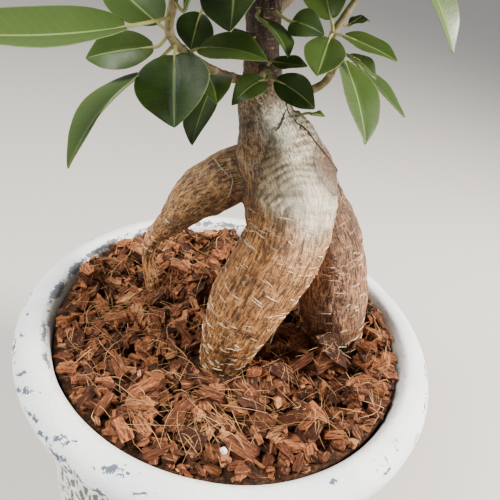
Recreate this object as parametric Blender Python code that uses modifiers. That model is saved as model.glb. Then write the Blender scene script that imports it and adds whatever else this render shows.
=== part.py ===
"""Banyan ficus grown as a small potted tree: three swollen roots carry a short trunk, grafted
branches carry glossy leaves, and the roots stand in potting soil under a mulch of coco chips,
in a round cement pot with a rolled collar.

Origin: the pot's axis at its underside. +Z is up, -Y is the front, +X is to the right.
Every number in the tables below is in millimetres, and MM turns it into metres.
"""

import math

import bmesh
import bpy
import numpy as np

MM = 0.001

# Pot
RIM_RADIUS = 100.0
RIM_TOP = 151.6
COLLAR_BOTTOM = 133.0
WALL_RADIUS = 88.0
BASE_RADIUS = 76.0
FLOOR_TOP = 12.0
DRAIN_RADIUS = 9.0
POT_STEPS = 48

# What fills the pot
GAP = 0.4
NET_RADIUS = 20.0
NET_THICKNESS = 1.2
SOIL_TOP = 118.0
MULCH_TOP = 143.5

# Wood and leaves
ROOT_CLEARANCE = 0.5
GRAFT_CLEARANCE = 0.3
PETIOLE_CLEARANCE = 0.8
PETIOLE_RADIUS = 0.6
LEAF_HALF_THICKNESS = 0.45
LEAF_FOLD = math.radians(14.0)
CROWN_REACH = 96.0
CROWN_TOP = 377.0
CROWN_FLOOR_AT_AXIS = 300.0
CROWN_FLOOR_SLOPE_X = 0.18
CROWN_FLOOR_SLOPE_Y = -0.13
GOLDEN_ANGLE = math.radians(137.5)
LEAF_SPACING = 4.6

# Limbs of the trunk: rows of x, y, z and radius, from the top down.
TRUNK_AND_CORE = [
    (-10.5, 4.0, 305.0, 5.2),
    (-9.5, 3.0, 292.0, 5.8),
    (-7.6, 2.0, 280.5, 6.2),
    (-6.0, 1.0, 270.5, 7.0),
    (-4.6, 0.0, 261.0, 9.2),
    (-1.0, -1.0, 252.0, 11.5),
    (2.2, -1.5, 242.0, 13.5),
    (4.6, -1.5, 231.0, 13.0),
    (5.8, -1.0, 219.0, 11.2),
    (7.6, 0.0, 206.0, 8.2),
    (9.5, 1.0, 195.0, 4.5),
]
FRONT_ROOT = [
    (1.5, -1.0, 253.0, 10.5),
    (8.6, -3.5, 243.0, 14.3),
    (14.5, -7.0, 232.0, 16.6),
    (16.2, -11.0, 221.0, 16.8),
    (15.0, -15.0, 210.0, 17.0),
    (11.2, -18.5, 198.0, 17.0),
    (6.8, -21.0, 184.5, 16.6),
    (3.4, -22.0, 169.0, 14.8),
    (1.2, -21.0, 155.0, 12.7),
    (-0.4, -20.0, 142.0, 10.9),
    (-1.0, -17.0, 124.0, 8.2),
    (-3.0, -13.0, 105.0, 5.0),
    (-6.0, -8.0, 90.0, 2.6),
]
RIGHT_ROOT = [
    (7.6, 2.0, 243.0, 12.0),
    (16.0, 3.0, 232.0, 12.4),
    (25.4, 3.5, 220.5, 12.6),
    (34.6, 4.0, 207.0, 13.4),
    (40.8, 4.0, 192.0, 14.4),
    (44.6, 3.4, 175.0, 16.2),
    (49.0, 2.4, 158.0, 15.2),
    (52.4, 1.4, 146.5, 12.6),
    (54.0, 1.0, 138.0, 10.8),
    (54.5, 4.0, 120.0, 7.6),
    (51.0, 10.0, 103.0, 4.4),
    (46.0, 16.0, 92.0, 2.4),
]
LEFT_ROOT = [
    (1.0, 0.0, 232.0, 11.0),
    (-8.6, 3.0, 227.6, 11.4),
    (-16.2, 6.0, 219.6, 12.0),
    (-24.0, 9.2, 211.0, 11.2),
    (-31.4, 12.8, 199.4, 8.8),
    (-38.8, 16.0, 187.4, 6.0),
    (-45.0, 18.0, 177.8, 4.3),
    (-48.2, 19.2, 167.4, 3.4),
    (-47.4, 20.0, 155.0, 3.3),
    (-44.8, 20.6, 142.0, 3.6),
    (-44.0, 21.0, 128.0, 3.2),
    (-47.0, 20.0, 112.0, 2.2),
    (-50.0, 17.0, 101.0, 1.4),
]

# Branches grafted into the trunk, from their pegs outwards.
BRANCHES = {
    "branch_left": [
        (-6.5, 0.0, 265.0, 2.2),
        (-13.2, -3.0, 266.7, 2.2),
        (-22.1, -9.0, 269.8, 2.0),
        (-30.9, -17.0, 276.0, 1.9),
        (-36.0, -20.0, 282.0, 1.8),
        (-35.0, -22.0, 291.8, 1.7),
        (-35.4, -21.0, 302.0, 1.5),
        (-39.0, -18.0, 313.0, 1.3),
    ],
    "branch_right": [
        (-3.0, 1.0, 263.5, 2.0),
        (6.5, -1.5, 265.8, 2.0),
        (14.0, -4.0, 269.3, 1.8),
        (17.7, -5.0, 274.9, 1.7),
        (16.2, -6.0, 281.5, 1.6),
        (15.1, -8.0, 288.5, 1.5),
        (19.5, -4.5, 298.3, 1.4),
        (23.5, -2.5, 309.0, 1.2),
    ],
    "branch_front_spur": [
        (-5.6, -1.0, 270.0, 1.6),
        (-4.8, -7.5, 271.5, 1.5),
        (-3.6, -12.0, 273.5, 1.3),
    ],
    "branch_leader": [
        (-11.6, 4.6, 302.6, 2.5),
        (-12.0, 5.4, 311.0, 2.5),
        (-9.5, 5.6, 322.0, 2.1),
        (-6.0, 4.0, 332.0, 1.7),
        (-4.0, 2.0, 341.0, 1.3),
    ],
    "branch_back_left": [
        (-10.8, 5.8, 296.0, 2.3),
        (-17.0, 13.0, 302.5, 2.3),
        (-29.0, 28.0, 310.0, 2.0),
        (-40.0, 42.0, 319.0, 1.7),
        (-46.0, 51.0, 329.0, 1.3),
    ],
    "branch_back_right": [
        (-6.8, 5.0, 288.0, 2.3),
        (0.0, 14.0, 295.5, 2.3),
        (14.0, 29.0, 308.0, 2.0),
        (28.0, 42.0, 320.0, 1.7),
        (36.0, 50.0, 331.0, 1.3),
    ],
    "branch_front": [
        (-9.4, 0.4, 298.0, 2.1),
        (-7.5, -9.0, 308.0, 2.2),
        (-3.0, -27.0, 322.0, 1.9),
        (1.0, -45.0, 330.0, 1.6),
        (3.0, -57.0, 336.0, 1.3),
    ],
    "branch_high_right": [
        (-7.2, 4.2, 300.6, 2.1),
        (3.0, 5.5, 311.5, 2.2),
        (22.0, 6.5, 324.0, 1.9),
        (42.0, 3.0, 333.0, 1.6),
        (55.0, 0.0, 341.0, 1.3),
    ],
    "branch_high_left": [
        (-12.2, 3.0, 290.6, 2.2),
        (-21.0, 3.4, 303.0, 2.2),
        (-39.0, 2.0, 317.0, 1.9),
        (-55.0, -5.0, 326.0, 1.6),
        (-65.0, -9.0, 334.0, 1.3),
    ],
}

# Low leaves: what each grows from, then its blade's foot, tip, width, arch and facing.
UP = (0.0, -0.15, 1.0)
LOW_LEAVES = {
    "leaf_left_front": ("branch_left", (-33, -24, 277), (-28, -41, 260), 24, 0.5, (-0.2, -0.7, 0.6)),
    "leaf_left_hanging": ("branch_left", (-43, -22, 269), (-58, -50, 244), 22, 3, (-0.6, -0.2, 0.7)),
    "leaf_left_round": ("branch_left", (-40, -21, 277), (-63, -20, 269), 12, 2, (-0.2, -0.9, 0.4)),
    "leaf_left_long": ("branch_left", (-43, -39, 286), (-87, -62, 281), 25, -2, (0.0, -0.2, 1.0)),
    "leaf_left_rising": ("branch_left", (-40, -17, 283), (-65, 5, 291), 18, -1, (-0.2, -0.5, 0.8)),
    "leaf_left_back": ("branch_high_left", (-29, -6, 287), (-31, -8, 275), 13, 1, (0.0, -0.8, 0.5)),
    "leaf_left_bract": ("branch_left", (-31, -25, 290), (-23, -31, 303), 12, 1, (-0.5, -0.5, 0.7)),
    "leaf_high_dark": ("branch_high_left", (-21, -7, 306), (-15, -41, 290), 20, -2, (-0.4, -0.4, 0.8)),
    "leaf_left_level": ("branch_left", (-27, -17, 278), (-4, -27, 281), 13, 2, (-0.3, -0.4, 0.8)),
    "leaf_left_glossy": ("branch_left", (-24, -14, 269), (-17, -33, 267), 13, 2, UP),
    "leaf_left_low": ("branch_left", (-22, -3, 265), (-24, -29, 250), 14, 1, (-0.5, -0.3, 0.8)),
    "leaf_trunk_left": ("branch_front_spur", (-4, -16, 272), (-13, -26, 265), 9, 3, (0.0, -0.7, 0.7)),
    "leaf_trunk_right": ("branch_front_spur", (-1, -17, 273), (14, -20, 267), 10.5, 3, (0.1, -0.8, 0.5)),
    "leaf_stem_left": ("trunk", (-10, -8, 289), (2, -22, 282), 12.5, 1.5, (0.4, -0.1, 0.9)),
    "leaf_stem_right": ("trunk", (1, -4, 289), (12, -15, 289), 10, 2, (-0.6, -0.5, 0.5)),
    "leaf_stem_front": ("trunk", (-3, -7, 276), (9, -12, 278), 7, 0, (-0.3, -0.4, 0.8)),
    "leaf_stem_folded": ("trunk", (-12, -6, 283), (-15, -22, 281), 9, 2, UP),
    "leaf_right_rising": ("branch_right", (13.5, -10, 292.5), (5, 11, 307), 16, 2, (-0.3, -0.6, 0.8)),
    "leaf_right_bud": ("branch_right", (20, -2, 291), (27, 1, 293), 6, 1, UP),
    "leaf_right_front": ("branch_right", (14, -12, 288), (11, -37, 282), 13, -1, (0.0, -0.2, 1.0)),
    "leaf_right_out": ("branch_right", (18, -10, 289), (36, -18, 286), 10.5, 0.5, (0.0, -0.3, 0.9)),
    "leaf_right_small": ("branch_right", (22, -3, 282), (33, -8, 277), 9, 1, UP),
    "leaf_right_hanging": ("branch_right", (20, -10, 282), (30, -38, 265), 17, 1.5, (0.5, -0.4, 0.8)),
    "leaf_right_curled": ("branch_right", (27, 5, 278), (47, -7, 266), 12, 0, (0.4, -0.1, 0.9)),
    "leaf_high_right": ("branch_high_right", (36, 8, 314), (56, -4, 289), 16, 1.5, (0.5, -0.5, 0.7)),
    "leaf_trunk_sprout": ("front_root", (14, -7, 261), (19, -10, 262), 4, 0, UP),
}

# Crown shoots: the branch each grows from, the share of the way along it, and its direction.
CROWN_SHOOTS = [
    ("branch_leader", 0.55, (0.5, 0.5, 0.5)),
    ("branch_leader", 0.75, (-0.6, 0.1, 0.5)),
    ("branch_leader", 1.00, (0.1, -0.1, 1.0)),
    ("branch_back_left", 0.55, (-0.8, 0.0, 0.5)),
    ("branch_back_left", 0.80, (0.3, 0.4, 0.7)),
    ("branch_back_left", 1.00, (-0.5, 0.6, 0.4)),
    ("branch_back_right", 0.60, (0.8, -0.1, 0.4)),
    ("branch_back_right", 0.80, (-0.3, 0.6, 0.6)),
    ("branch_back_right", 1.00, (0.6, 0.5, 0.5)),
    ("branch_front", 0.60, (-0.6, -0.3, 0.7)),
    ("branch_front", 1.00, (0.0, -0.7, 0.7)),
    ("branch_high_right", 0.60, (0.1, -0.7, 0.6)),
    ("branch_high_right", 1.00, (0.8, -0.2, 0.6)),
    ("branch_high_left", 0.60, (0.0, 0.4, 0.8)),
    ("branch_high_left", 1.00, (-0.8, -0.3, 0.5)),
    ("branch_left", 1.00, (-0.1, -0.5, 0.8)),
    ("branch_right", 1.00, (0.3, -0.6, 0.8)),
]
SHOOT_LENGTH = 25.0
SHOOT_RADIUS = 1.1
LEAVES_PER_SHOOT = 7
CROWN_LEAF_LENGTH = 34.0
CROWN_LEAF_WIDTH = 17.0

# A blade's half width at shares of its length, as a share of its half width at the widest.
BLADE_SHARES = np.array([0.18, 0.42, 0.66, 0.86])
CROWN_BLADE_SHARES = np.array([0.22, 0.55, 0.84])


def clear_scene():
    for obj in list(bpy.data.objects):
        bpy.data.objects.remove(obj, do_unlink=True)


def new_collection(name):
    collection = bpy.data.collections.new(name)
    bpy.context.scene.collection.children.link(collection)
    return collection


def finish_material(name, colour, roughness):
    """A Principled material of one colour, with no metal in it."""
    material = bpy.data.materials.new(name)
    material.use_nodes = True
    shader = material.node_tree.nodes["Principled BSDF"]
    shader.inputs["Base Color"].default_value = (*colour, 1.0)
    shader.inputs["Roughness"].default_value = roughness
    shader.inputs["Metallic"].default_value = 0.0
    return material


def place(name, mesh, material, collection):
    obj = bpy.data.objects.new(name, mesh)
    mesh.materials.append(material)
    collection.objects.link(obj)
    return obj


def cut_guide(name, mesh, collection):
    """An object that cuts or joins another and is no piece itself."""
    obj = bpy.data.objects.new(name, mesh)
    collection.objects.link(obj)
    obj.hide_render = True
    obj.display_type = "WIRE"
    return obj


def turned(name, profile, closed, material, collection):
    """A profile of radius and height turned round the Z axis."""
    points = [(radius * MM, 0.0, height * MM) for radius, height in profile]
    edges = [(i, i + 1) for i in range(len(points) - 1)]
    if closed:
        edges.append((len(points) - 1, 0))
    mesh = bpy.data.meshes.new(name)
    mesh.from_pydata(points, edges, [])
    obj = place(name, mesh, material, collection)
    screw = obj.modifiers.new("Turned", "SCREW")
    screw.angle = math.tau
    screw.steps = POT_STEPS
    screw.render_steps = POT_STEPS
    screw.use_merge_vertices = True
    screw.merge_threshold = 0.00005
    screw.use_smooth_shade = True
    return obj


def boolean(obj, other, operation):
    modifier = obj.modifiers.new(other.name, "BOOLEAN")
    modifier.operation = operation
    modifier.object = other


def smooth_path(rows, steps):
    """Points along a Catmull-Rom curve through the rows, with the radius carried along."""
    rows = np.array(rows, dtype=float)
    ends = np.vstack([2 * rows[0] - rows[1], rows, 2 * rows[-1] - rows[-2]])
    found = []
    for i in range(len(rows) - 1):
        a, b, c, d = ends[i : i + 4]
        for t in np.arange(steps) / steps:
            found.append(
                0.5
                * (
                    2 * b
                    + (c - a) * t
                    + (2 * a - 5 * b + 4 * c - d) * t**2
                    + (3 * b - a - 3 * c + d) * t**3
                )
            )
    found.append(rows[-1])
    return np.array(found)


def tube_mesh(name, path, resolution, grow=0.0, stretch=0.0):
    """A capped round tube along a path of x, y, z and radius, as a welded mesh.

    grow is added to every radius, and stretch lengthens both ends.
    """
    path = path.copy()
    path[:, 3] += grow
    for end, inner in ((0, 1), (-1, -2)):
        away = path[end, :3] - path[inner, :3]
        path[end, :3] += away / np.linalg.norm(away) * stretch
    curve = bpy.data.curves.new(name, "CURVE")
    curve.dimensions = "3D"
    curve.bevel_depth = MM
    curve.bevel_resolution = resolution
    curve.use_fill_caps = True
    spline = curve.splines.new("POLY")
    spline.points.add(len(path) - 1)
    for point, (x, y, z, radius) in zip(spline.points, path, strict=True):
        point.co = (x * MM, y * MM, z * MM, 1.0)
        point.radius = radius
    holder = bpy.data.objects.new(name, curve)
    bpy.context.scene.collection.objects.link(holder)
    graph = bpy.context.evaluated_depsgraph_get()
    mesh = bpy.data.meshes.new_from_object(holder.evaluated_get(graph))
    bpy.data.objects.remove(holder, do_unlink=True)
    shape = bmesh.new()
    shape.from_mesh(mesh)
    bmesh.ops.remove_doubles(shape, verts=shape.verts, dist=0.000001)
    bmesh.ops.recalc_face_normals(shape, faces=shape.faces)
    shape.to_mesh(mesh)
    shape.free()
    mesh.shade_smooth()
    mesh.set_sharp_from_angle(angle=math.radians(50.0))
    return mesh


def unit(vector):
    vector = np.array(vector, dtype=float)
    return vector / np.linalg.norm(vector)


def blade_width(share):
    """The outline of a blade: wider past its middle, then drawn in to a short point."""
    return np.sin(math.pi * share**0.85) ** 0.75 * (1.0 - 0.25 * np.maximum(share - 0.75, 0.0) / 0.25)


def blade_frame(foot, tip, facing):
    """The blade's length direction, its side direction and the direction that it faces."""
    along = unit(np.subtract(tip, foot))
    side = unit(np.cross(along, facing))
    return along, side, np.cross(side, along)


def blade_point(leaf, share, across):
    """A point of a leaf's blade: share runs from foot to tip, across from -1 to 1.

    The midrib is a straight line raised by a parabola, and both halves fold up from it.
    """
    along, side, face = blade_frame(leaf["foot"], leaf["tip"], leaf["facing"])
    half = 0.5 * leaf["width"] * blade_width(share)
    length = np.linalg.norm(np.subtract(leaf["tip"], leaf["foot"]))
    lift = leaf["arch"] * 4.0 * share * (1.0 - share) + abs(across) * half * math.tan(LEAF_FOLD)
    return np.array(leaf["foot"]) + along * share * length + side * across * half + face * lift


def leaf_mesh(name, leaf, shares):
    """A leaf with its stalk: sections of four points, from a round stalk to a flat, pointed blade."""
    foot = np.array(leaf["foot"], dtype=float)
    start = np.array(leaf["start"], dtype=float)
    _, side, face = blade_frame(foot, leaf["tip"], leaf["facing"])
    stalk = unit(foot - start)
    stalk_side = unit(np.cross(stalk, face))
    stalk_face = np.cross(stalk_side, stalk)
    sections = [
        [start + d * PETIOLE_RADIUS for d in (-stalk_side, stalk_face, stalk_side, -stalk_face)],
        [foot + d * PETIOLE_RADIUS for d in (-side, face, side, -face)],
    ]
    for share in shares:
        middle = blade_point(leaf, share, 0.0)
        sections.append(
            [
                blade_point(leaf, share, -1.0),
                middle + face * LEAF_HALF_THICKNESS,
                blade_point(leaf, share, 1.0),
                middle - face * LEAF_HALF_THICKNESS,
            ]
        )
    shape = bmesh.new()
    rings = [[shape.verts.new(point * MM) for point in ring] for ring in sections]
    tip = shape.verts.new(np.array(leaf["tip"], dtype=float) * MM)
    shape.faces.new(rings[0])
    for ring, following in zip(rings, rings[1:], strict=False):
        for i in range(4):
            j = (i + 1) % 4
            shape.faces.new((ring[i], ring[j], following[j], following[i]))
    for i in range(4):
        shape.faces.new((rings[-1][i], rings[-1][(i + 1) % 4], tip))
    bmesh.ops.triangulate(shape, faces=[face for face in shape.faces if len(face.verts) > 3])
    bmesh.ops.recalc_face_normals(shape, faces=shape.faces)
    mesh = bpy.data.meshes.new(name)
    shape.to_mesh(mesh)
    shape.free()
    mesh.shade_smooth()
    mesh.set_sharp_from_angle(angle=math.radians(40.0))
    return mesh


def stalk_start(path, foot):
    """Where a leaf's stalk leaves a branch: beside its nearest point, on the side of the foot."""
    foot = np.array(foot, dtype=float)
    nearest = path[np.argmin(np.linalg.norm(path[:, :3] - foot, axis=1))]
    away = unit(foot - nearest[:3])
    return nearest[:3] + away * (nearest[3] + PETIOLE_CLEARANCE)


def blade_samples(leaf):
    """Points spread over a blade, by which leaves are kept apart."""
    shares = np.linspace(0.0, 1.0, 9)
    return np.array([blade_point(leaf, s, a) for s in shares for a in (-1.0, -0.5, 0.0, 0.5, 1.0)])


def nearest_distance(points, others):
    if not len(others):
        return math.inf
    return np.min(np.linalg.norm(points[:, None, :] - others[None, :, :], axis=2))


def inside_crown(points):
    """Whether the points are over the crown's slanted underside, under its top and in its reach."""
    floor = CROWN_FLOOR_AT_AXIS + CROWN_FLOOR_SLOPE_X * points[:, 0] + CROWN_FLOOR_SLOPE_Y * points[:, 1]
    reach = np.max(np.abs(points[:, :2]))
    return np.all(points[:, 2] > floor) and np.max(points[:, 2]) < CROWN_TOP and reach < CROWN_REACH


def low_leaf(row, paths):
    host, foot, tip, width, arch, facing = row
    start = stalk_start(paths[host], foot)
    return dict(start=start, foot=foot, tip=tip, width=width, arch=arch, facing=facing)


def shoot_leaf(twig, order, turn, size):
    """A leaf of a shoot, set round the twig by the golden angle and leaning out from it."""
    share = 0.25 + 0.75 * order / (LEAVES_PER_SHOOT - 1)
    at = twig[0, :3] + (twig[-1, :3] - twig[0, :3]) * share
    along = unit(twig[-1, :3] - twig[0, :3])
    side = unit(np.cross(along, (0.31, 0.17, 0.94)))
    other = np.cross(along, side)
    angle = order * GOLDEN_ANGLE + turn
    out = side * math.cos(angle) + other * math.sin(angle)
    lean = 0.25 + 0.55 * share
    reach = unit(out + along * lean - np.array((0.0, 0.0, 0.18)))
    foot = at + reach * 7.0
    tip = foot + reach * CROWN_LEAF_LENGTH * size - np.array((0.0, 0.0, 4.0))
    facing = unit(along * 0.8 + np.array((0.0, 0.0, 1.0)))
    return dict(start=at, foot=foot, tip=tip, width=CROWN_LEAF_WIDTH * size, arch=3.0, facing=facing)


def shoot_twig(path, share, direction):
    """The straight twig of a shoot, from beside its branch to its bud."""
    index = int(round(share * (len(path) - 1)))
    at = path[index]
    direction = unit(direction)
    away = direction
    if index < len(path) - 1:
        axis = unit(path[index + 1, :3] - path[index - 1, :3])
        away = unit(direction - axis * np.dot(direction, axis))
    start = at[:3] + away * (at[3] + SHOOT_RADIUS + PETIOLE_CLEARANCE)
    end = start + direction * SHOOT_LENGTH
    return np.array([[*start, SHOOT_RADIUS], [*(start + end) / 2, 0.9], [*end, 0.7]])


def grow_crown(paths, low_leaves):
    """The twig and the leaves of each crown shoot. A leaf that would come within LEAF_SPACING of
    another shoot turns round its twig or shrinks until it fits, and is left out if it never does."""
    twigs = [shoot_twig(paths[host], share, direction) for host, share, direction in CROWN_SHOOTS]
    wood = np.vstack([smooth_path(rows, 10)[:, :3] for rows in BRANCHES.values()])
    placed = [blade_samples(leaf) for leaf in low_leaves]
    shoots = []
    for index, twig in enumerate(twigs):
        other_twigs = [smooth_path(other, 5)[:, :3] for other in twigs if other is not twig]
        others = np.vstack([wood, *placed, *other_twigs])
        own = []
        for order in range(LEAVES_PER_SHOOT):
            for attempt in range(24):
                turn = index * 1.1 + attempt * 0.7
                size = 1.0 - 0.03 * (attempt // 4)
                leaf = shoot_leaf(twig, order, turn, size)
                points = blade_samples(leaf)
                clear = nearest_distance(points, others) > LEAF_SPACING
                clear = clear and all(nearest_distance(points, p) > 3.0 for _, p in own)
                if clear and inside_crown(points):
                    own.append((leaf, points))
                    break
        placed.extend(points for _, points in own)
        shoots.append((twig, [leaf for leaf, _ in own]))
    return shoots


def build_pot(collection, clay):
    """A cast cement pot: rolled collar, near upright wall, flat base and one drain hole."""
    profile = [
        (90.0, RIM_TOP),
        (94.5, RIM_TOP - 0.9),
        (98.2, RIM_TOP - 3.2),
        (RIM_RADIUS, RIM_TOP - 6.6),
        (99.2, RIM_TOP - 11.0),
        (97.4, COLLAR_BOTTOM + 3.4),
        (94.8, COLLAR_BOTTOM + 0.8),
        (91.0, COLLAR_BOTTOM),
        (WALL_RADIUS, COLLAR_BOTTOM - 2.4),
        (87.0, 90.0),
        (85.6, 40.0),
        (84.2, 12.0),
        (81.0, 3.6),
        (BASE_RADIUS, 0.0),
        (DRAIN_RADIUS, 0.0),
        (DRAIN_RADIUS, FLOOR_TOP),
        (70.0, FLOOR_TOP),
        (74.5, 16.0),
        (78.0, 45.0),
        (80.6, 90.0),
        (84.0, MULCH_TOP),
        (85.0, RIM_TOP - 2.6),
        (86.8, RIM_TOP - 0.4),
    ]
    turned("cement_pot", profile, True, clay, collection)


def build_net(collection, plastic, guides):
    """A disc of net over the drain hole, with a ring of round openings."""
    bottom = FLOOR_TOP + GAP
    mesh = bpy.data.meshes.new("drainage_net")
    shape = bmesh.new()
    bmesh.ops.create_cone(
        shape,
        cap_ends=True,
        segments=24,
        radius1=NET_RADIUS * MM,
        radius2=NET_RADIUS * MM,
        depth=NET_THICKNESS * MM,
    )
    bmesh.ops.translate(shape, verts=shape.verts, vec=(0.0, 0.0, (bottom + NET_THICKNESS / 2) * MM))
    shape.to_mesh(mesh)
    shape.free()
    net = place("drainage_net", mesh, plastic, collection)
    places = [(0.0, 0.0)]
    places += [(6.0 * math.cos(a), 6.0 * math.sin(a)) for a in np.arange(6) * math.tau / 6]
    places += [(13.0 * math.cos(a), 13.0 * math.sin(a)) for a in np.arange(12) * math.tau / 12]
    for number, (x, y) in enumerate(places):
        cutter = bpy.data.meshes.new("net_opening")
        shape = bmesh.new()
        bmesh.ops.create_cone(
            shape,
            cap_ends=True,
            segments=6,
            radius1=2.2 * MM,
            radius2=2.2 * MM,
            depth=4 * NET_THICKNESS * MM,
        )
        bmesh.ops.translate(shape, verts=shape.verts, vec=(x * MM, y * MM, bottom * MM))
        shape.to_mesh(cutter)
        shape.free()
        boolean(net, cut_guide(f"net_opening_{number}", cutter, guides), "DIFFERENCE")


def build_filling(collection, soil_material, mulch_material, guides, paths):
    """Potting soil up to SOIL_TOP and the coco chips over it, both open where the roots stand."""
    over_net = FLOOR_TOP + NET_THICKNESS + 2 * GAP
    soil = turned(
        "potting_soil",
        [
            (0.0, SOIL_TOP),
            (81.9 - GAP, SOIL_TOP),
            (80.6 - GAP, 90.0),
            (78.0 - GAP, 45.0),
            (74.5 - GAP, 16.0 + GAP),
            (70.0 - GAP, FLOOR_TOP + GAP),
            (NET_RADIUS + GAP, FLOOR_TOP + GAP),
            (NET_RADIUS + GAP, over_net),
            (0.0, over_net),
        ],
        False,
        soil_material,
        collection,
    )
    mulch = turned(
        "coco_chip_mulch",
        [
            (0.0, MULCH_TOP),
            (84.0 - GAP, MULCH_TOP),
            (81.9 - GAP, SOIL_TOP + GAP),
            (0.0, SOIL_TOP + GAP),
        ],
        False,
        mulch_material,
        collection,
    )
    for limb in ("front_root", "right_root", "left_root"):
        mesh = tube_mesh(f"{limb}_socket", paths[limb], 5, ROOT_CLEARANCE, ROOT_CLEARANCE)
        socket = cut_guide(f"{limb}_socket", mesh, guides)
        boolean(mulch, socket, "DIFFERENCE")
        boolean(soil, socket, "DIFFERENCE")


def build_trunk(collection, bark, guides, paths):
    """The trunk and its three swollen roots, grown as one, with a socket for each graft."""
    trunk = place("trunk_with_roots", tube_mesh("trunk_with_roots", paths["trunk"], 5), bark, collection)
    for limb in ("front_root", "right_root", "left_root"):
        boolean(trunk, cut_guide(limb, tube_mesh(limb, paths[limb], 5), guides), "UNION")
    for name in BRANCHES:
        peg = tube_mesh(f"{name}_socket", paths[name], 1, GRAFT_CLEARANCE, GRAFT_CLEARANCE)
        boolean(trunk, cut_guide(f"{name}_socket", peg, guides), "DIFFERENCE")


def build_crown(collection, leaf_material, guides, paths, low_leaves):
    """The leafy shoots above, each a twig with its leaves grown on as one piece."""
    for number, (twig, leaves) in enumerate(grow_crown(paths, low_leaves), start=1):
        name = f"crown_shoot_{number:02d}"
        shoot = place(name, tube_mesh(name, twig, 1), leaf_material, collection)
        for order, leaf in enumerate(leaves):
            mesh = leaf_mesh(f"{name}_leaf_{order}", leaf, CROWN_BLADE_SHARES)
            boolean(shoot, cut_guide(f"{name}_leaf_{order}", mesh, guides), "UNION")


def build():
    """Every piece of the plant and its pot, in order of assembly."""
    clear_scene()
    pieces = new_collection("banyan_ficus_in_cement_pot")
    guides = new_collection("cutters_and_guides")
    cement = finish_material("cement", (0.62, 0.61, 0.56), 0.85)
    plastic = finish_material("net_plastic", (0.03, 0.03, 0.03), 0.6)
    soil = finish_material("potting_soil", (0.035, 0.022, 0.014), 0.95)
    chips = finish_material("coco_chips", (0.22, 0.085, 0.035), 0.9)
    bark = finish_material("bark", (0.33, 0.22, 0.13), 0.75)
    twig_bark = finish_material("twig_bark", (0.16, 0.10, 0.06), 0.7)
    leaf_green = finish_material("leaf_green", (0.035, 0.12, 0.02), 0.3)

    paths = {
        "trunk": smooth_path(TRUNK_AND_CORE, 1),
        "front_root": smooth_path(FRONT_ROOT, 1),
        "right_root": smooth_path(RIGHT_ROOT, 1),
        "left_root": smooth_path(LEFT_ROOT, 1),
    }
    paths.update({name: smooth_path(rows, 2) for name, rows in BRANCHES.items()})

    build_pot(pieces, cement)
    build_net(pieces, plastic, guides)
    build_filling(pieces, soil, chips, guides, paths)
    build_trunk(pieces, bark, guides, paths)
    for name in BRANCHES:
        place(name, tube_mesh(name, paths[name], 1), twig_bark, pieces)
    low_leaves = {name: low_leaf(row, paths) for name, row in LOW_LEAVES.items()}
    for name, leaf in low_leaves.items():
        place(name, leaf_mesh(name, leaf, BLADE_SHARES), leaf_green, pieces)
    build_crown(pieces, leaf_green, guides, paths, list(low_leaves.values()))


build()
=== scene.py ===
"""Looks of a banyan ficus in a cement pot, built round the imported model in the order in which
such a plant is potted: pot, net and soil, trunk, mulch, branches, low leaves, crown.

Every size in the tables below is in millimetres; MM turns it into metres.
"""

import math

import bpy
import numpy as np
from mathutils import Matrix, Vector
from mathutils.bvhtree import BVHTree


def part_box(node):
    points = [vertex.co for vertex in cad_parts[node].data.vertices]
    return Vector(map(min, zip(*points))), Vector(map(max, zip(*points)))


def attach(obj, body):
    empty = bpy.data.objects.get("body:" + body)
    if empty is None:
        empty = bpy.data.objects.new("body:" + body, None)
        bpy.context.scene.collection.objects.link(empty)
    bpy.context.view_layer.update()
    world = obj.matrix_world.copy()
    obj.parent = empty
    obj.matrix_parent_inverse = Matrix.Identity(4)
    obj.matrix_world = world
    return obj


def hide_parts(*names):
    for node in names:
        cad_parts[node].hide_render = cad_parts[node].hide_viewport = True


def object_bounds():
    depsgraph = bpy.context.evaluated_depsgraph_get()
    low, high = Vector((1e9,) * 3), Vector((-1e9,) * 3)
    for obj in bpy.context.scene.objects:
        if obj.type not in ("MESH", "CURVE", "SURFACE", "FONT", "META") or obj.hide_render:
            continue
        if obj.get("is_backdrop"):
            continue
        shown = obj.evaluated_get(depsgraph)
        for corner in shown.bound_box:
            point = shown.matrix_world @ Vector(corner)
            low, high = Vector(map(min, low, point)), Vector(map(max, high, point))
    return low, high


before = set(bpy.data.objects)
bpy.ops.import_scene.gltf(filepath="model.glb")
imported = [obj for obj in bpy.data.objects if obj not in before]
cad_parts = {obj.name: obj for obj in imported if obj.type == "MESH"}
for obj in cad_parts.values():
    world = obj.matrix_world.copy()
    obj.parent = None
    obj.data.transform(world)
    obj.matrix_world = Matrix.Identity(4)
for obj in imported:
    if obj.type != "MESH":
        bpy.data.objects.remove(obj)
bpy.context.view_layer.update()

# ---------------------------------------------------------------------------------------------
# The pot. Cast cement with a rolled collar and a shallow relief of interlaced willow strands,
# painted a chalky off-white and rubbed back along its edges. It is cast in one piece.
# ---------------------------------------------------------------------------------------------
MM = 0.001
pot_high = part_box("cement_pot")[1]
RIM_RADIUS = pot_high.x / MM
RIM_TOP = pot_high.z / MM
COLLAR_BOTTOM = RIM_TOP - 18.6
WALL_RADIUS = RIM_RADIUS - 12.0
POT_COLUMNS = 640
POT_ROWS = 150
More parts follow.
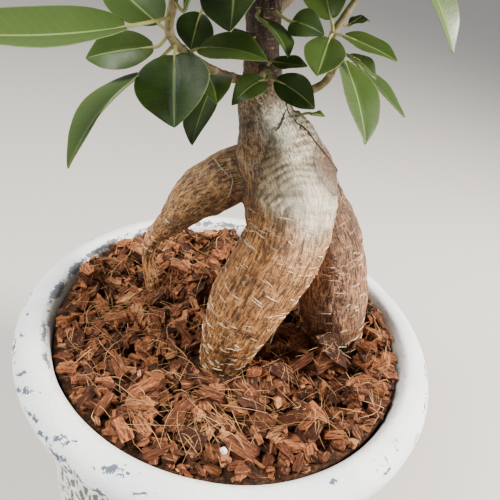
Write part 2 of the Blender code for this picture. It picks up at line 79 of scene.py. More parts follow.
POT_OUTLINE = [
    (RIM_RADIUS - 10.0, RIM_TOP),
    (RIM_RADIUS - 5.5, RIM_TOP - 0.9),
    (RIM_RADIUS - 1.8, RIM_TOP - 3.2),
    (RIM_RADIUS, RIM_TOP - 6.6),
    (RIM_RADIUS - 0.8, RIM_TOP - 11.0),
    (RIM_RADIUS - 2.6, COLLAR_BOTTOM + 3.4),
    (RIM_RADIUS - 5.2, COLLAR_BOTTOM + 0.8),
    (RIM_RADIUS - 9.0, COLLAR_BOTTOM),
    (WALL_RADIUS, COLLAR_BOTTOM - 2.4),
    (87.0, 90.0),
    (85.6, 40.0),
    (84.2, 12.0),
    (81.0, 3.6),
    (76.0, 0.0),
    (9.0, 0.0),
    (9.0, 12.0),
    (70.0, 12.0),
    (74.5, 16.0),
    (78.0, 45.0),
    (80.6, 90.0),
    (84.0, 143.5),
    (85.0, RIM_TOP - 2.6),
    (86.8, RIM_TOP - 0.4),
]
OUTLINE_ROUNDING = 2.0
CASTING_WAVE = 0.35
STRAND_PITCH = 6.4
STRAND_SLANT = math.radians(27.0)
STRAND_HALF_WIDTH = 1.3
STRAND_HEIGHT = 1.5
STRAND_WAVE = 27.0
STRAND_LEAF = 15.0
RELIEF_BOTTOM, RELIEF_TOP = 8.0, COLLAR_BOTTOM - 5.0
INNER_LINE_RADIUS = RIM_RADIUS - 13.6
INNER_LINE_WIDTH = 1.4
# Rubbed places: the angle round the pot in degrees from the front towards the right, the radius
# and height they are at, how far they reach round and across the collar, and how they slant.
RUBBED_PLACES = [
    (-34.2, 96.6, 149.3, 2.4, 2.1, 0.7),
    (-31.4, 94.8, 150.3, 3.0, 1.9, 0.7),
    (-55.4, 96.4, 149.4, 4.2, 1.9, 1.1),
    (-50.6, 97.4, 148.6, 6.5, 2.2, 0.8),
    (-44.0, 98.6, 147.2, 5.5, 1.7, 0.3),
    (-37.5, 98.9, 147.2, 5.5, 1.5, 0.2),
    (-32.0, 99.6, 145.7, 7.0, 2.2, 0.1),
    (-26.5, 99.5, 144.4, 7.5, 2.0, 0.0),
    (-20.0, 99.4, 143.8, 7.5, 1.8, 0.0),
    (-19.8, 93.8, 150.9, 4.8, 2.0, 0.5),
    (-16.2, 92.7, 151.0, 3.8, 1.5, 0.5),
    (-11.5, 96.2, 149.6, 4.2, 1.0, 0.3),
    (-76.0, 95.1, 150.3, 2.4, 1.0, 0.0),
    (-67.8, 95.4, 150.1, 3.8, 1.0, 0.6),
    (-66.0, 98.8, 147.2, 9.0, 1.9, 0.0),
    (-84.0, 98.6, 147.6, 8.0, 1.7, 0.0),
    (46.4, 97.7, 148.7, 4.5, 1.1, 0.0),
    (31.5, 91.4, 151.4, 3.0, 1.3, 0.3),
    (84.0, 97.6, 148.7, 9.0, 1.3, 0.0),
    (72.0, 97.9, 148.5, 9.0, 1.3, 0.0),
    (61.0, 98.9, 147.4, 5.5, 1.2, 0.1),
    (22.0, 99.4, 143.8, 9.0, 1.5, 0.0),
    (2.0, 99.4, 143.0, 9.0, 1.5, 0.0),
    (118.0, 97.0, 149.2, 4.0, 1.2, 0.4),
    (146.0, 99.5, 145.8, 9.0, 1.5, 0.0),
    (172.0, 95.3, 150.2, 3.0, 1.0, 0.5),
    (-164.0, 98.6, 147.6, 6.0, 1.3, 0.0),
    (-138.0, 99.0, 146.8, 8.0, 1.5, 0.0),
    (-117.0, 96.4, 149.6, 3.4, 1.2, 0.6),
    (-103.0, 99.3, 146.2, 7.0, 1.4, 0.0),
]
SCRATCHES = [(angle, 93.4, 151.0, 0.55, 3.2, 0.15) for angle in (44.2, 45.2, 46.4, 47.9, 52.6, 54.2)]


def lattice_value(cell, seed):
    """A fixed number from 0 to 1 for each cell of whole numbers, from multiplying and folding them."""
    mixed = cell[..., 0] * 73856093 ^ cell[..., 1] * 19349663 ^ cell[..., 2] * 83492791
    mixed = (mixed ^ seed * 265443576) & 0x7FFFFFFF
    mixed = (mixed ^ (mixed >> 15)) * 224682251 & 0x7FFFFFFF
    mixed = (mixed ^ (mixed >> 13)) * 326648991 & 0x7FFFFFFF
    return ((mixed ^ (mixed >> 16)) & 0xFFFF) / 65535.0


def soft_noise(points, sizes, seed=0):
    """Noise from -1 to 1 with lumps of the given sizes: the values at a lattice cell's eight
    corners, mixed by 3t^2 - 2t^3 along each axis."""
    place = points / np.asarray(sizes, dtype=float) + 512.37
    cell = np.floor(place).astype(np.int64)
    share = place - cell
    share = share * share * (3.0 - 2.0 * share)
    total = np.zeros(points.shape[:-1])
    for corner in np.ndindex(2, 2, 2):
        weight = np.prod(np.where(corner, share, 1.0 - share), axis=-1)
        total += weight * lattice_value(cell + corner, seed)
    return 2.0 * total - 1.0


def ramp_up(value, start, end):
    """0 before start, 1 after end, and 3t^2 - 2t^3 between them."""
    t = np.clip((value - start) / (end - start), 0.0, 1.0)
    return t * t * (3.0 - 2.0 * t)


def grid_quads(rows, columns, wrap_rows=False, wrap_columns=True, first=0):
    """The corners of each cell of a grid of points, joined back to its start where it wraps."""
    row = np.arange(rows if wrap_rows else rows - 1)[:, None]
    column = np.arange(columns if wrap_columns else columns - 1)[None, :]
    next_row, next_column = (row + 1) % rows, (column + 1) % columns
    corners = (
        row * columns + column,
        row * columns + next_column,
        next_row * columns + next_column,
        next_row * columns + column,
    )
    return np.stack(corners, axis=-1).reshape(-1, 4) + first


def repeated(faces, count, points_each):
    """The faces of one shape, repeated for count copies whose points follow each other."""
    steps = np.arange(count)[:, None, None] * points_each
    return (faces[None] + steps).reshape(-1, faces.shape[1])


def shape_mesh(name, points, *faces):
    """A mesh from points in millimetres and arrays of faces, each array with its own corner count.
    The faces are turned over if the volume that they close comes out below nothing."""
    volume = 0.0
    for group in faces:
        for k in range(1, group.shape[1] - 1):
            a, b, c = points[group[:, 0]], points[group[:, k]], points[group[:, k + 1]]
            volume += np.einsum("ij,ij->i", a, np.cross(b, c)).sum()
    if volume < 0.0:
        faces = [group[:, ::-1] for group in faces]
    corners = np.concatenate([group.ravel() for group in faces])
    sizes = np.concatenate([np.full(len(group), group.shape[1]) for group in faces])
    mesh = bpy.data.meshes.new(name)
    mesh.vertices.add(len(points))
    mesh.vertices.foreach_set("co", (points * MM).ravel().astype(np.float32))
    mesh.loops.add(len(corners))
    mesh.loops.foreach_set("vertex_index", corners.astype(np.int32))
    mesh.polygons.add(len(sizes))
    mesh.polygons.foreach_set("loop_start", (np.cumsum(sizes) - sizes).astype(np.int32))
    mesh.update(calc_edges=True)
    mesh.shade_smooth()
    return mesh


def note(mesh, name, values):
    """Keeps one number, or three, for every point of a mesh, for its finish to read."""
    values = np.asarray(values, dtype=np.float32)
    kind = "FLOAT_VECTOR" if values.ndim > 1 else "FLOAT"
    attribute = mesh.attributes.new(name, kind, "POINT")
    attribute.data.foreach_set("vector" if values.ndim > 1 else "value", values.ravel())


def add_piece(name, mesh, finishes, replaced=()):
    """Puts a mesh in the scene, on the one body, with its finishes and the nodes it stands for."""
    for finish in finishes:
        mesh.materials.append(finish)
    piece = bpy.data.objects.new(name, mesh)
    bpy.context.scene.collection.objects.link(piece)
    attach(piece, "root")
    if replaced:
        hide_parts(*replaced)
    return piece


class Finish:
    """A Principled material with short words for the nodes that its finish is mixed from."""

    # Where a Mix node keeps its two colours and the colour that it makes.
    FIRST_COLOUR, SECOND_COLOUR, MIXED_COLOUR = 6, 7, 2

    def __init__(self, name, roughness, **sockets):
        self.material = bpy.data.materials.new(name)
        self.material.use_nodes = True
        self.tree = self.material.node_tree
        self.shader = self.tree.nodes["Principled BSDF"]
        self.shader.inputs["Roughness"].default_value = roughness
        for socket, value in sockets.items():
            self.shader.inputs[socket.replace("_", " ")].default_value = value

    def feed(self, socket, value):
        """Links another node's output into a socket, or sets a number or a colour on it."""
        if isinstance(value, bpy.types.NodeSocket):
            self.tree.links.new(value, socket)
        elif isinstance(value, tuple) and len(value) == 3 and socket.type == "RGBA":
            socket.default_value = (*value, 1.0)
        else:
            socket.default_value = value

    def place(self, scale=(1.0, 1.0, 1.0), source=None):
        """Where a point of the piece is, in metres, or another vector, stretched by scale."""
        if source is None:
            source = self.tree.nodes.new("ShaderNodeTexCoord").outputs["Object"]
        mapping = self.tree.nodes.new("ShaderNodeMapping")
        self.feed(mapping.inputs["Vector"], source)
        mapping.inputs["Scale"].default_value = scale
        return mapping.outputs["Vector"]

    def noted(self, name, output="Fac"):
        """What the piece's mesh keeps for each point under this name."""
        reader = self.tree.nodes.new("ShaderNodeAttribute")
        reader.attribute_name = name
        return reader.outputs[output]

    def noise(self, place, scale, detail=3.0, roughness=0.55, distortion=0.0):
        """Soft noise from 0 to 1, with about scale lumps to the metre."""
        cloud = self.tree.nodes.new("ShaderNodeTexNoise")
        self.feed(cloud.inputs["Vector"], place)
        cloud.inputs["Scale"].default_value = scale
        cloud.inputs["Detail"].default_value = detail
        cloud.inputs["Roughness"].default_value = roughness
        cloud.inputs["Distortion"].default_value = distortion
        return cloud.outputs["Fac"]

    def sum(self, operation, first, second=0.0):
        """One sum of two values, such as ADD or MULTIPLY."""
        made = self.tree.nodes.new("ShaderNodeMath")
        made.operation = operation
        self.feed(made.inputs[0], first)
        self.feed(made.inputs[1], second)
        return made.outputs[0]

    def span(self, value, start, end, low=0.0, high=1.0):
        """value from start to end, brought to low to high and kept between them."""
        made = self.tree.nodes.new("ShaderNodeMapRange")
        made.interpolation_type = "SMOOTHSTEP"
        self.feed(made.inputs["Value"], value)
        made.inputs["From Min"].default_value = start
        made.inputs["From Max"].default_value = end
        made.inputs["To Min"].default_value = low
        made.inputs["To Max"].default_value = high
        return made.outputs["Result"]

    def mix(self, share, first, second, blend="MIX"):
        """The first colour turned into the second by a share from 0 to 1."""
        made = self.tree.nodes.new("ShaderNodeMix")
        made.data_type = "RGBA"
        made.blend_type = blend
        self.feed(made.inputs["Factor"], share)
        self.feed(made.inputs[self.FIRST_COLOUR], first)
        self.feed(made.inputs[self.SECOND_COLOUR], second)
        return made.outputs[self.MIXED_COLOUR]

    def bump(self, height, strength, distance):
        """Surface directions tilted by a height, whose full range is distance in metres."""
        made = self.tree.nodes.new("ShaderNodeBump")
        made.inputs["Strength"].default_value = strength
        made.inputs["Distance"].default_value = distance
        self.feed(made.inputs["Height"], height)
        return made.outputs["Normal"]

    def finish(self, colour, normal=None, roughness=None):
        """Gives the shader its colour, surface directions and roughness, and hands the material over."""
        self.feed(self.shader.inputs["Base Color"], colour)
        if normal is not None:
            self.feed(self.shader.inputs["Normal"], normal)
        if roughness is not None:
            self.feed(self.shader.inputs["Roughness"], roughness)
        return self.material


def rounded_outline(corners, rounding, count, spacing):
    """A closed outline of straight runs, each point the mean of its surroundings within the
    rounding, and count points along it that are spacing(radius, height) apart."""
    corners = np.array([*corners, corners[0]])
    run = np.concatenate([[0.0], np.cumsum(np.linalg.norm(np.diff(corners, axis=0), axis=1))])
    dense = np.arange(0.0, run[-1], 0.25)
    line = np.stack([np.interp(dense, run, corners[:, k]) for k in (0, 1)], axis=1)
    reach = int(rounding / 0.25)
    wrapped = np.concatenate([line[-reach:], line, line[:reach]])
    window = np.ones(2 * reach + 1) / (2 * reach + 1)
    line = np.stack([np.convolve(wrapped[:, k], window, "valid") for k in (0, 1)], axis=1)
    effort = np.cumsum(1.0 / spacing(line[:, 0], line[:, 1]))
    wanted = np.linspace(effort[0], effort[-1], count, endpoint=False)
    return np.stack([np.interp(wanted, effort, line[:, k]) for k in (0, 1)], axis=1)


def pot_spacing(radius, height):
    """Fine on the outer wall and the collar, coarse on the hidden inside and underneath."""
    shown = (radius > 83.0) & (height > 5.0)
    collar = height > COLLAR_BOTTOM - 4.0
    return np.where(collar, 0.9, np.where(shown, 1.25, 7.0))


def strand_relief(round_way, height):
    """Height of the relief, 0 to 1: two slanted, wavy families of strands that pass over and under
    each other, each strand round across and swelling like a willow leaf along its length."""
    total = np.zeros_like(height)
    for family, lean in enumerate((STRAND_SLANT, -STRAND_SLANT)):
        along = height * math.cos(lean) + round_way * math.sin(lean)
        across = round_way * math.cos(lean) - height * math.sin(lean)
        drift = family * 2.0 + 1.4 * np.sin(round_way / 19.0)
        across = across + 1.5 * np.sin(along * math.tau / STRAND_WAVE + drift)
        number = np.round(across / STRAND_PITCH)
        off = np.abs(across - number * STRAND_PITCH)
        leaf = 0.5 + 0.5 * np.cos(along * math.tau / STRAND_LEAF + number * 2.4)
        half_width = STRAND_HALF_WIDTH * (0.72 + 0.5 * leaf)
        crest = np.sqrt(np.clip(1.0 - (off / half_width) ** 2, 0.0, 1.0))
        over = 0.78 + 0.22 * np.cos(along * math.tau / (2.0 * STRAND_PITCH) + number * math.pi)
        total = np.maximum(total, crest * over)
    return total


outline = rounded_outline(POT_OUTLINE, OUTLINE_ROUNDING, POT_ROWS, pot_spacing)
turn = np.arange(POT_COLUMNS) * math.tau / POT_COLUMNS
outline_way = np.roll(outline, -1, axis=0) - np.roll(outline, 1, axis=0)
outline_way /= np.linalg.norm(outline_way, axis=1, keepdims=True)
outwards = np.stack([-outline_way[:, 1], outline_way[:, 0]], axis=1)
widest = np.argmax(outline[:, 0])
outwards *= np.sign(outwards[widest, 0])
radius = np.repeat(outline[:, :1], POT_COLUMNS, axis=1)
height = np.repeat(outline[:, 1:], POT_COLUMNS, axis=1)
round_way = turn[None, :] * WALL_RADIUS
on_wall = (outwards[:, :1] > 0.5) * ramp_up(height, RELIEF_BOTTOM, RELIEF_BOTTOM + 3.0)
on_wall = on_wall * (1.0 - ramp_up(height, RELIEF_TOP - 1.5, RELIEF_TOP + 1.0))
relief = strand_relief(np.broadcast_to(round_way, height.shape), height)
places = np.stack([radius * np.sin(turn), -radius * np.cos(turn), height], axis=-1)
lift = CASTING_WAVE * soft_noise(places, 34.0, 1) + 0.14 * soft_noise(places, 7.0, 2)
lift = np.minimum(lift, 0.0) + on_wall * (relief * STRAND_HEIGHT - 0.5)
radius = radius + lift * outwards[:, :1]
height = height + lift * outwards[:, 1:]
pot_points = np.stack([radius * np.sin(turn), -radius * np.cos(turn), height], axis=-1)
pot_points[..., 2] = np.maximum(pot_points[..., 2], 0.0)
# Each rubbed place is a bell curve round its middle; the paint is worn most along the inner edge
# of the collar, at the back and on the left.
rubbed = np.zeros_like(height)
for angle, at_radius, at_height, reach, across_reach, slant in RUBBED_PLACES + SCRATCHES:
    away = (np.degrees(turn)[None, :] - angle + 180.0) % 360.0 - 180.0
    away = np.radians(away) * at_radius
    over, down = radius - at_radius, height - at_height
    across = np.hypot(over, down) * np.where(over > down, 1.0, -1.0)
    spot = np.exp(-((away / reach) ** 2) - ((across + slant * away) / across_reach) ** 2)
    rubbed = np.maximum(rubbed, spot)
degrees_round = np.degrees(turn)[None, :] - 360.0 * (turn[None, :] > math.pi)
inner_crest = np.exp(-(((radius - INNER_LINE_RADIUS) / INNER_LINE_WIDTH) ** 2))
inner_crest = inner_crest * (height > RIM_TOP - 4.0)
worn_side = np.maximum(
    ramp_up(-degrees_round, 48.0, 62.0), ramp_up(np.abs(degrees_round), 150.0, 165.0)
)
inner_line = inner_crest * worn_side * (0.55 + 0.45 * soft_noise(places, 9.0, 3))
rubbed = np.maximum(rubbed, 2.6 * inner_line)
pot_mesh = shape_mesh(
    "pot", pot_points.reshape(-1, 3), grid_quads(POT_ROWS, POT_COLUMNS, wrap_rows=True)
)
note(pot_mesh, "relief", (1.0 - on_wall * (1.0 - relief)).ravel())
note(pot_mesh, "strand", (on_wall * relief).ravel())
note(pot_mesh, "rubbed", rubbed.ravel())
note(pot_mesh, "inner_lip", (outwards[:, :1] * np.ones(POT_COLUMNS) < -0.35).ravel())

CHALK_WHITE = (0.83, 0.845, 0.81)
CHALK_GREY = (0.70, 0.735, 0.725)
SLATE_BLUE = (0.055, 0.08, 0.125)
RECESS_GREY = (0.085, 0.095, 0.085)
STRAND_CREAM = (0.80, 0.755, 0.60)
DUST_BROWN = (0.42, 0.33, 0.24)
chalk = Finish("chalky_paint_on_cement", 0.82, Specular_IOR_Level=0.3)
here = chalk.place()
paint = chalk.mix(chalk.span(chalk.noise(here, 42.0, 4.0), 0.35, 0.7), CHALK_WHITE, CHALK_GREY)
paint = chalk.mix(chalk.span(chalk.noise(here, 15.0, 2.0), 0.55, 0.8, 0.0, 0.35), paint, (0.70, 0.66, 0.57))
ragged = chalk.noise(chalk.place((1.0, 1.0, 1.6)), 420.0, 5.0, 0.68, 0.4)
worn_through = chalk.sum("MULTIPLY", chalk.noted("rubbed"), 0.8)
rub = chalk.sum("ADD", worn_through, chalk.span(ragged, 0.3, 0.7, -0.45, 0.45))
paint = chalk.mix(chalk.span(rub, 0.50, 0.62, 0.0, 0.95), paint, SLATE_BLUE)
thin = chalk.span(chalk.noise(here, 120.0, 8.0, 0.72, 1.0), 0.68, 0.76, 0.0, 0.55)
paint = chalk.mix(thin, paint, (0.36, 0.41, 0.44))
specks = chalk.span(chalk.noise(here, 900.0, 2.0), 0.70, 0.76, 0.0, 0.5)
paint = chalk.mix(specks, paint, (0.30, 0.32, 0.33))
strand = chalk.span(chalk.noted("strand"), 0.35, 0.75, 0.0, 0.6)
paint = chalk.mix(strand, paint, STRAND_CREAM)
sunk = chalk.span(chalk.noted("relief"), 0.62, 0.34)
paint = chalk.mix(chalk.sum("MULTIPLY", sunk, 0.92), paint, RECESS_GREY)
dust = chalk.sum("MULTIPLY", chalk.noted("inner_lip"), chalk.span(ragged, 0.4, 0.7, 0.05, 0.4))
paint = chalk.mix(dust, paint, DUST_BROWN)
grit = chalk.sum("ADD", chalk.noise(here, 700.0, 3.0), chalk.sum("MULTIPLY", ragged, 0.8))
chalk_paint = chalk.finish(paint, chalk.bump(grit, 0.35, 0.0006))
add_piece("painted_pot", pot_mesh, [chalk_paint], ["cement_pot"])

# ---------------------------------------------------------------------------------------------
# The net over the drain hole and the potting soil on it. The net is black plastic, the soil dark
# peat with fine grit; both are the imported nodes, with their own finishes.
# ---------------------------------------------------------------------------------------------
net = Finish("black_net_plastic", 0.55)
net_plastic = net.finish(
    net.mix(net.noise(net.place(), 600.0), (0.012, 0.012, 0.012), (0.035, 0.034, 0.032)),
    net.bump(net.noise(net.place(), 900.0), 0.2, 0.0002),
)
soil = Finish("dark_potting_soil", 0.95)
crumbly = soil.noise(soil.place(), 420.0, 6.0, 0.7)
peat = soil.mix(soil.span(crumbly, 0.35, 0.7), (0.012, 0.008, 0.005), (0.075, 0.045, 0.026))
potting_soil = soil.finish(peat, soil.bump(crumbly, 0.9, 0.002))
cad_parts["drainage_net"].material_slots[0].material = net_plastic
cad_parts["potting_soil"].material_slots[0].material = potting_soil

# ---------------------------------------------------------------------------------------------
# The trunk with its swollen roots. One growth of wood: a dark ribbed neck, a pale wrinkled
# shoulder that bends into the front root, a right root and a thin left root, all in smooth bark
# with fine fibres lengthwise and corky dashes crosswise. The pale patch at the shoulder's right
# front is painted highlight, and the grooves and the creases between the limbs carry painted shade.
# ---------------------------------------------------------------------------------------------
TRUNK_AND_CORE = [
    (-10.5, 4.0, 305.0, 5.2),
    (-9.5, 3.0, 292.0, 5.8),
    (-7.6, 2.0, 280.5, 6.2),
    (-6.0, 1.0, 270.5, 7.0),
    (-4.6, 0.0, 261.0, 9.2),
    (-1.0, -1.0, 252.0, 11.5),
    (2.2, -1.5, 242.0, 13.5),
    (4.6, -1.5, 231.0, 13.0),
    (5.8, -1.0, 219.0, 11.2),
    (7.6, 0.0, 206.0, 8.2),
    (9.5, 1.0, 195.0, 4.5),
]
FRONT_ROOT = [
    (1.5, -1.0, 253.0, 10.5),
    (8.6, -3.5, 243.0, 14.3),
    (14.5, -7.0, 232.0, 16.6),
    (16.2, -11.0, 221.0, 16.8),
    (15.0, -15.0, 210.0, 17.0),
    (11.2, -18.5, 198.0, 17.0),
    (6.8, -21.0, 184.5, 16.6),
    (3.4, -22.0, 169.0, 14.8),
    (1.2, -21.0, 155.0, 12.7),
    (-0.4, -20.0, 142.0, 10.9),
    (-1.0, -17.0, 124.0, 8.2),
    (-3.0, -13.0, 105.0, 5.0),
    (-6.0, -8.0, 90.0, 2.6),
]
RIGHT_ROOT = [
    (7.6, 2.0, 243.0, 12.0),
    (16.0, 3.0, 232.0, 12.4),
    (25.4, 3.5, 220.5, 12.6),
    (34.6, 4.0, 207.0, 13.4),
    (40.8, 4.0, 192.0, 14.4),
    (44.6, 3.4, 175.0, 16.2),
    (49.0, 2.4, 158.0, 15.2),
    (52.4, 1.4, 146.5, 12.6),
    (54.0, 1.0, 138.0, 10.8),
    (54.5, 4.0, 120.0, 7.6),
    (51.0, 10.0, 103.0, 4.4),
    (46.0, 16.0, 92.0, 2.4),
]
LEFT_ROOT = [
    (1.0, 0.0, 232.0, 11.0),
    (-8.6, 3.0, 227.6, 11.4),
    (-16.2, 6.0, 219.6, 12.0),
    (-24.0, 9.2, 211.0, 11.2),
    (-31.4, 12.8, 199.4, 8.8),
    (-38.8, 16.0, 187.4, 6.0),
    (-45.0, 18.0, 177.8, 4.3),
    (-48.2, 19.2, 167.4, 3.4),
    (-47.4, 20.0, 155.0, 3.3),
    (-44.8, 20.6, 142.0, 3.6),
    (-44.0, 21.0, 128.0, 3.2),
    (-47.0, 20.0, 112.0, 2.2),
    (-50.0, 17.0, 101.0, 1.4),
]
VOXEL = 0.72
TUBE_SIDES = 48
BEND_CENTRE = np.array((19.0, -20.0, 227.0))
WRINKLE_PITCH = 2.3
WOOD_TOP = 305.4
DASH_COUNTS = {"front_root": 240, "right_root": 170, "left_root": 26, "trunk_core": 26}
DASH_HEIGHTS = {"front_root": 222.0, "right_root": 226.0, "left_root": 214.0, "trunk_core": 240.0}
DASH_STATIONS = 7
DASH_HALF_WIDTH = 0.27
DASH_RISE = 0.3


def unit(vectors):
    """Each vector divided by its length."""
    vectors = np.asarray(vectors, dtype=float)
    return vectors / np.linalg.norm(vectors, axis=-1, keepdims=True)


def smooth_path(rows, steps):
    """Points along a Catmull-Rom curve through the rows, with the radius carried along."""
    rows = np.array(rows, dtype=float)
    ends = np.vstack([2 * rows[0] - rows[1], rows, 2 * rows[-1] - rows[-2]])
    a, b, c, d = (ends[k : k + len(rows) - 1, None, :] for k in range(4))
    t = (np.arange(steps) / steps)[None, :, None]
    curve = 0.5 * (
        2 * b
        + (c - a) * t
        + (2 * a - 5 * b + 4 * c - d) * t**2
        + (3 * b - a - 3 * c + d) * t**3
    )
    return np.vstack([curve.reshape(-1, rows.shape[1]), rows[-1]])


def path_frames(path):
    """The direction of a path at each point, and two directions across it that turn with it."""
    along = unit(np.gradient(path[:, :3], axis=0))
    reference = np.eye(3)[np.argmin(np.abs(along).max(axis=0))]
    side = unit(np.cross(along, reference))
    return along, side, np.cross(along, side)


def run_length(path):
    """How far along the path each of its points lies."""
    return np.concatenate([[0.0], np.cumsum(np.linalg.norm(np.diff(path[:, :3], axis=0), axis=1))])


def tube(path, sides):
    """Rings of a round tube along a path of x, y, z and radius, and the faces that close it."""
    _, side, other = path_frames(path)
    angle = np.arange(sides) * math.tau / sides
    ring = side[:, None] * np.cos(angle)[None, :, None] + other[:, None] * np.sin(angle)[None, :, None]
    points = path[:, None, :3] + ring * path[:, 3][:, None, None]
    last = (len(path) - 1) * sides
    caps = np.array([np.arange(sides)[::-1], np.arange(sides) + last])
    return points.reshape(-1, 3), grid_quads(len(path), sides), caps


def joined(name, parts):
    """One mesh of several closed shapes, each given as its points and its arrays of faces."""
    points = np.concatenate([part[0] for part in parts])
    groups = {}
    first = 0
    for part_points, *part_faces in parts:
        for group in part_faces:
            groups.setdefault(group.shape[1], []).append(group + first)
        first += len(part_points)
    return shape_mesh(name, points, *(np.concatenate(found) for found in groups.values()))


def limb_coordinates(path, points):
    """Each point as the limb's own two across distances and its distance along the limb, and how
    far it stands off the limb's surface."""
    along, side, other = path_frames(path)
    centre = path[:, :3]
    square = (points**2).sum(1)[:, None] - 2.0 * points @ centre.T + (centre**2).sum(1)[None, :]
    nearest = np.argmin(square, axis=1)
    off = points - centre[nearest]
    forward = np.einsum("ij,ij->i", off, along[nearest])
    a = np.einsum("ij,ij->i", off, side[nearest])
    b = np.einsum("ij,ij->i", off, other[nearest])
    own = np.stack([a, b, run_length(path)[nearest] + forward], axis=1)
    return own, np.hypot(a, b) - path[nearest, 3]


def bend_arcs(points):
    """The shoulder's wrinkles, from -1 to 1: a sine of the distance from the bend's inner side,
    shifted by noise, faded in patches and kept between the bend and the neck."""
    reach = np.linalg.norm(points - BEND_CENTRE, axis=1)
    arcs = np.sin(reach * math.tau / WRINKLE_PITCH + 3.4 * soft_noise(points, 7.0, 5))
    patches = np.clip(0.5 + 0.9 * soft_noise(points, (7.0, 7.0, 4.0), 6), 0.0, 1.3)
    arcs = arcs * patches * ramp_up(reach, 6.0, 10.0)
    return arcs * ramp_up(points[:, 2], 222.0, 232.0) * (1.0 - ramp_up(points[:, 2], 254.0, 260.0))


limbs = {
    "trunk_core": smooth_path(TRUNK_AND_CORE, 8),
    "front_root": smooth_path(FRONT_ROOT, 8),
    "right_root": smooth_path(RIGHT_ROOT, 8),
    "left_root": smooth_path(LEFT_ROOT, 8),
}
rough_trunk = bpy.data.objects.new(
    "rough_trunk", joined("rough_trunk", [tube(path, TUBE_SIDES) for path in limbs.values()])
)
bpy.context.scene.collection.objects.link(rough_trunk)
skin = rough_trunk.modifiers.new("one_skin", "REMESH")
skin.mode = "VOXEL"
skin.voxel_size = VOXEL * MM
eased = rough_trunk.modifiers.new("eased", "SMOOTH")
eased.factor = 0.5
eased.iterations = 8
graph = bpy.context.evaluated_depsgraph_get()
trunk_mesh = bpy.data.meshes.new_from_object(rough_trunk.evaluated_get(graph))
bpy.data.objects.remove(rough_trunk, do_unlink=True)
trunk_mesh.name = "trunk"

count = len(trunk_mesh.vertices)
wood = np.empty(count * 3, dtype=np.float32)
trunk_mesh.vertices.foreach_get("co", wood)
wood = wood.reshape(-1, 3).astype(float) / MM
facing = np.empty(count * 3, dtype=np.float32)
trunk_mesh.vertices.foreach_get("normal", facing)
facing = facing.reshape(-1, 3).astype(float)

found = {name: limb_coordinates(path, wood) for name, path in limbs.items()}
stand_off = np.stack([found[name][1] for name in limbs], axis=1)
share_of = np.exp(-np.clip(stand_off - stand_off.min(1, keepdims=True), 0.0, 30.0) / 1.6)
share_of /= share_of.sum(1, keepdims=True)
own_place = np.zeros_like(wood)
nearest_limb = np.argmax(share_of, axis=1)
lift = np.zeros(count)
crests = np.zeros(count)
troughs = np.zeros(count)
z = wood[:, 2].copy()
neck = ramp_up(z, 246.0, 262.0)
shoulder = ramp_up(z, 208.0, 226.0) * (1.0 - ramp_up(z, 256.0, 266.0))
arcs = bend_arcs(wood)
SHOULDER_SHARE = {"trunk_core": 0.25, "front_root": 1.0, "right_root": 0.45, "left_root": 0.35}
for number, name in enumerate(limbs):
    own = found[name][0]
    own_place[nearest_limb == number] = (own + (0.0, 0.0, 400.0 * number))[nearest_limb == number]
    bent = own + 1.6 * soft_noise(own, 11.0, 5)[:, None]
    rings = soft_noise(bent, (15.0, 15.0, 1.7), 3 + number)
    wide_rings = soft_noise(bent, (22.0, 22.0, 3.6), 7 + number)
    ribs = soft_noise(own, (1.9, 1.9, 20.0), 11 + number)
    cracks = soft_noise(own, (1.5, 1.5, 7.0), 15 + number)
    wrinkled = shoulder * SHOULDER_SHARE[name]
    ribbed = neck if name == "trunk_core" else 0.5 * neck
    relief = ribbed * (0.75 * ribs + 0.4 * cracks) + wrinkled * (0.45 * rings + 0.35 * wide_rings)
    relief += (1.0 - ribbed) * (1.0 - wrinkled) * (0.34 * cracks + 0.2 * rings + 0.3 * wide_rings)
    if name == "front_root":
        relief += 0.5 * arcs
    lift += share_of[:, number] * relief
    crests += share_of[:, number] * wrinkled * (0.4 * rings + 0.35 * wide_rings)
    troughs += share_of[:, number] * (ribbed * (ribs + 0.6 * cracks) + (1.0 - ribbed) * 0.6 * cracks)
    if name == "front_root":
        crests += share_of[:, number] * 0.9 * arcs
lift += 0.7 * soft_noise(wood, 17.0, 21) + 0.4 * soft_noise(wood, 7.0, 22)
wood += facing * lift[:, None]
wood[:, 2] = np.minimum(wood[:, 2], WOOD_TOP)
trunk_mesh.vertices.foreach_set("co", (wood * MM).ravel().astype(np.float32))
trunk_mesh.update()
trunk_mesh.shade_smooth()

# Colours of the bark where they lie on the wood, from the neck down to the mulch.
NECK_BROWN = np.array((0.27, 0.145, 0.075))
NECK_GREY = np.array((0.52, 0.43, 0.27))
CORE_BROWN = np.array((0.66, 0.34, 0.13))
CREST_HIGHLIGHT_WHITE = np.array((0.98, 0.85, 0.66))
CREST_TAN = np.array((0.85, 0.66, 0.42))
TROUGH_OLIVE = np.array((0.38, 0.31, 0.18))
# The painted highlight on the shoulder's right front: its crests and its troughs.
HIGHLIGHT_TAN = np.array((0.99, 0.84, 0.64))
HIGHLIGHT_TROUGH = np.array((0.50, 0.42, 0.28))
ROOT_TAN = np.array((0.53, 0.235, 0.074))
ROOT_FOOT = np.array((0.44, 0.19, 0.052))
RIGHT_MAUVE = np.array((0.42, 0.20, 0.10))
RIGHT_FOOT = np.array((0.19, 0.07, 0.021))
LEFT_GOLD = np.array((0.42, 0.22, 0.08))
LEFT_FOOT = np.array((0.72, 0.33, 0.11))
LICHEN_AND_HIGHLIGHT_GREY = np.array((0.97, 0.93, 0.72))
STEM_BROWN = np.array((0.085, 0.040, 0.024))


def blended(base, other, share):
    """One colour turned into another by a share for each point."""
    share = np.clip(share, 0.0, 1.0)[:, None]
    return base * (1.0 - share) + other * share


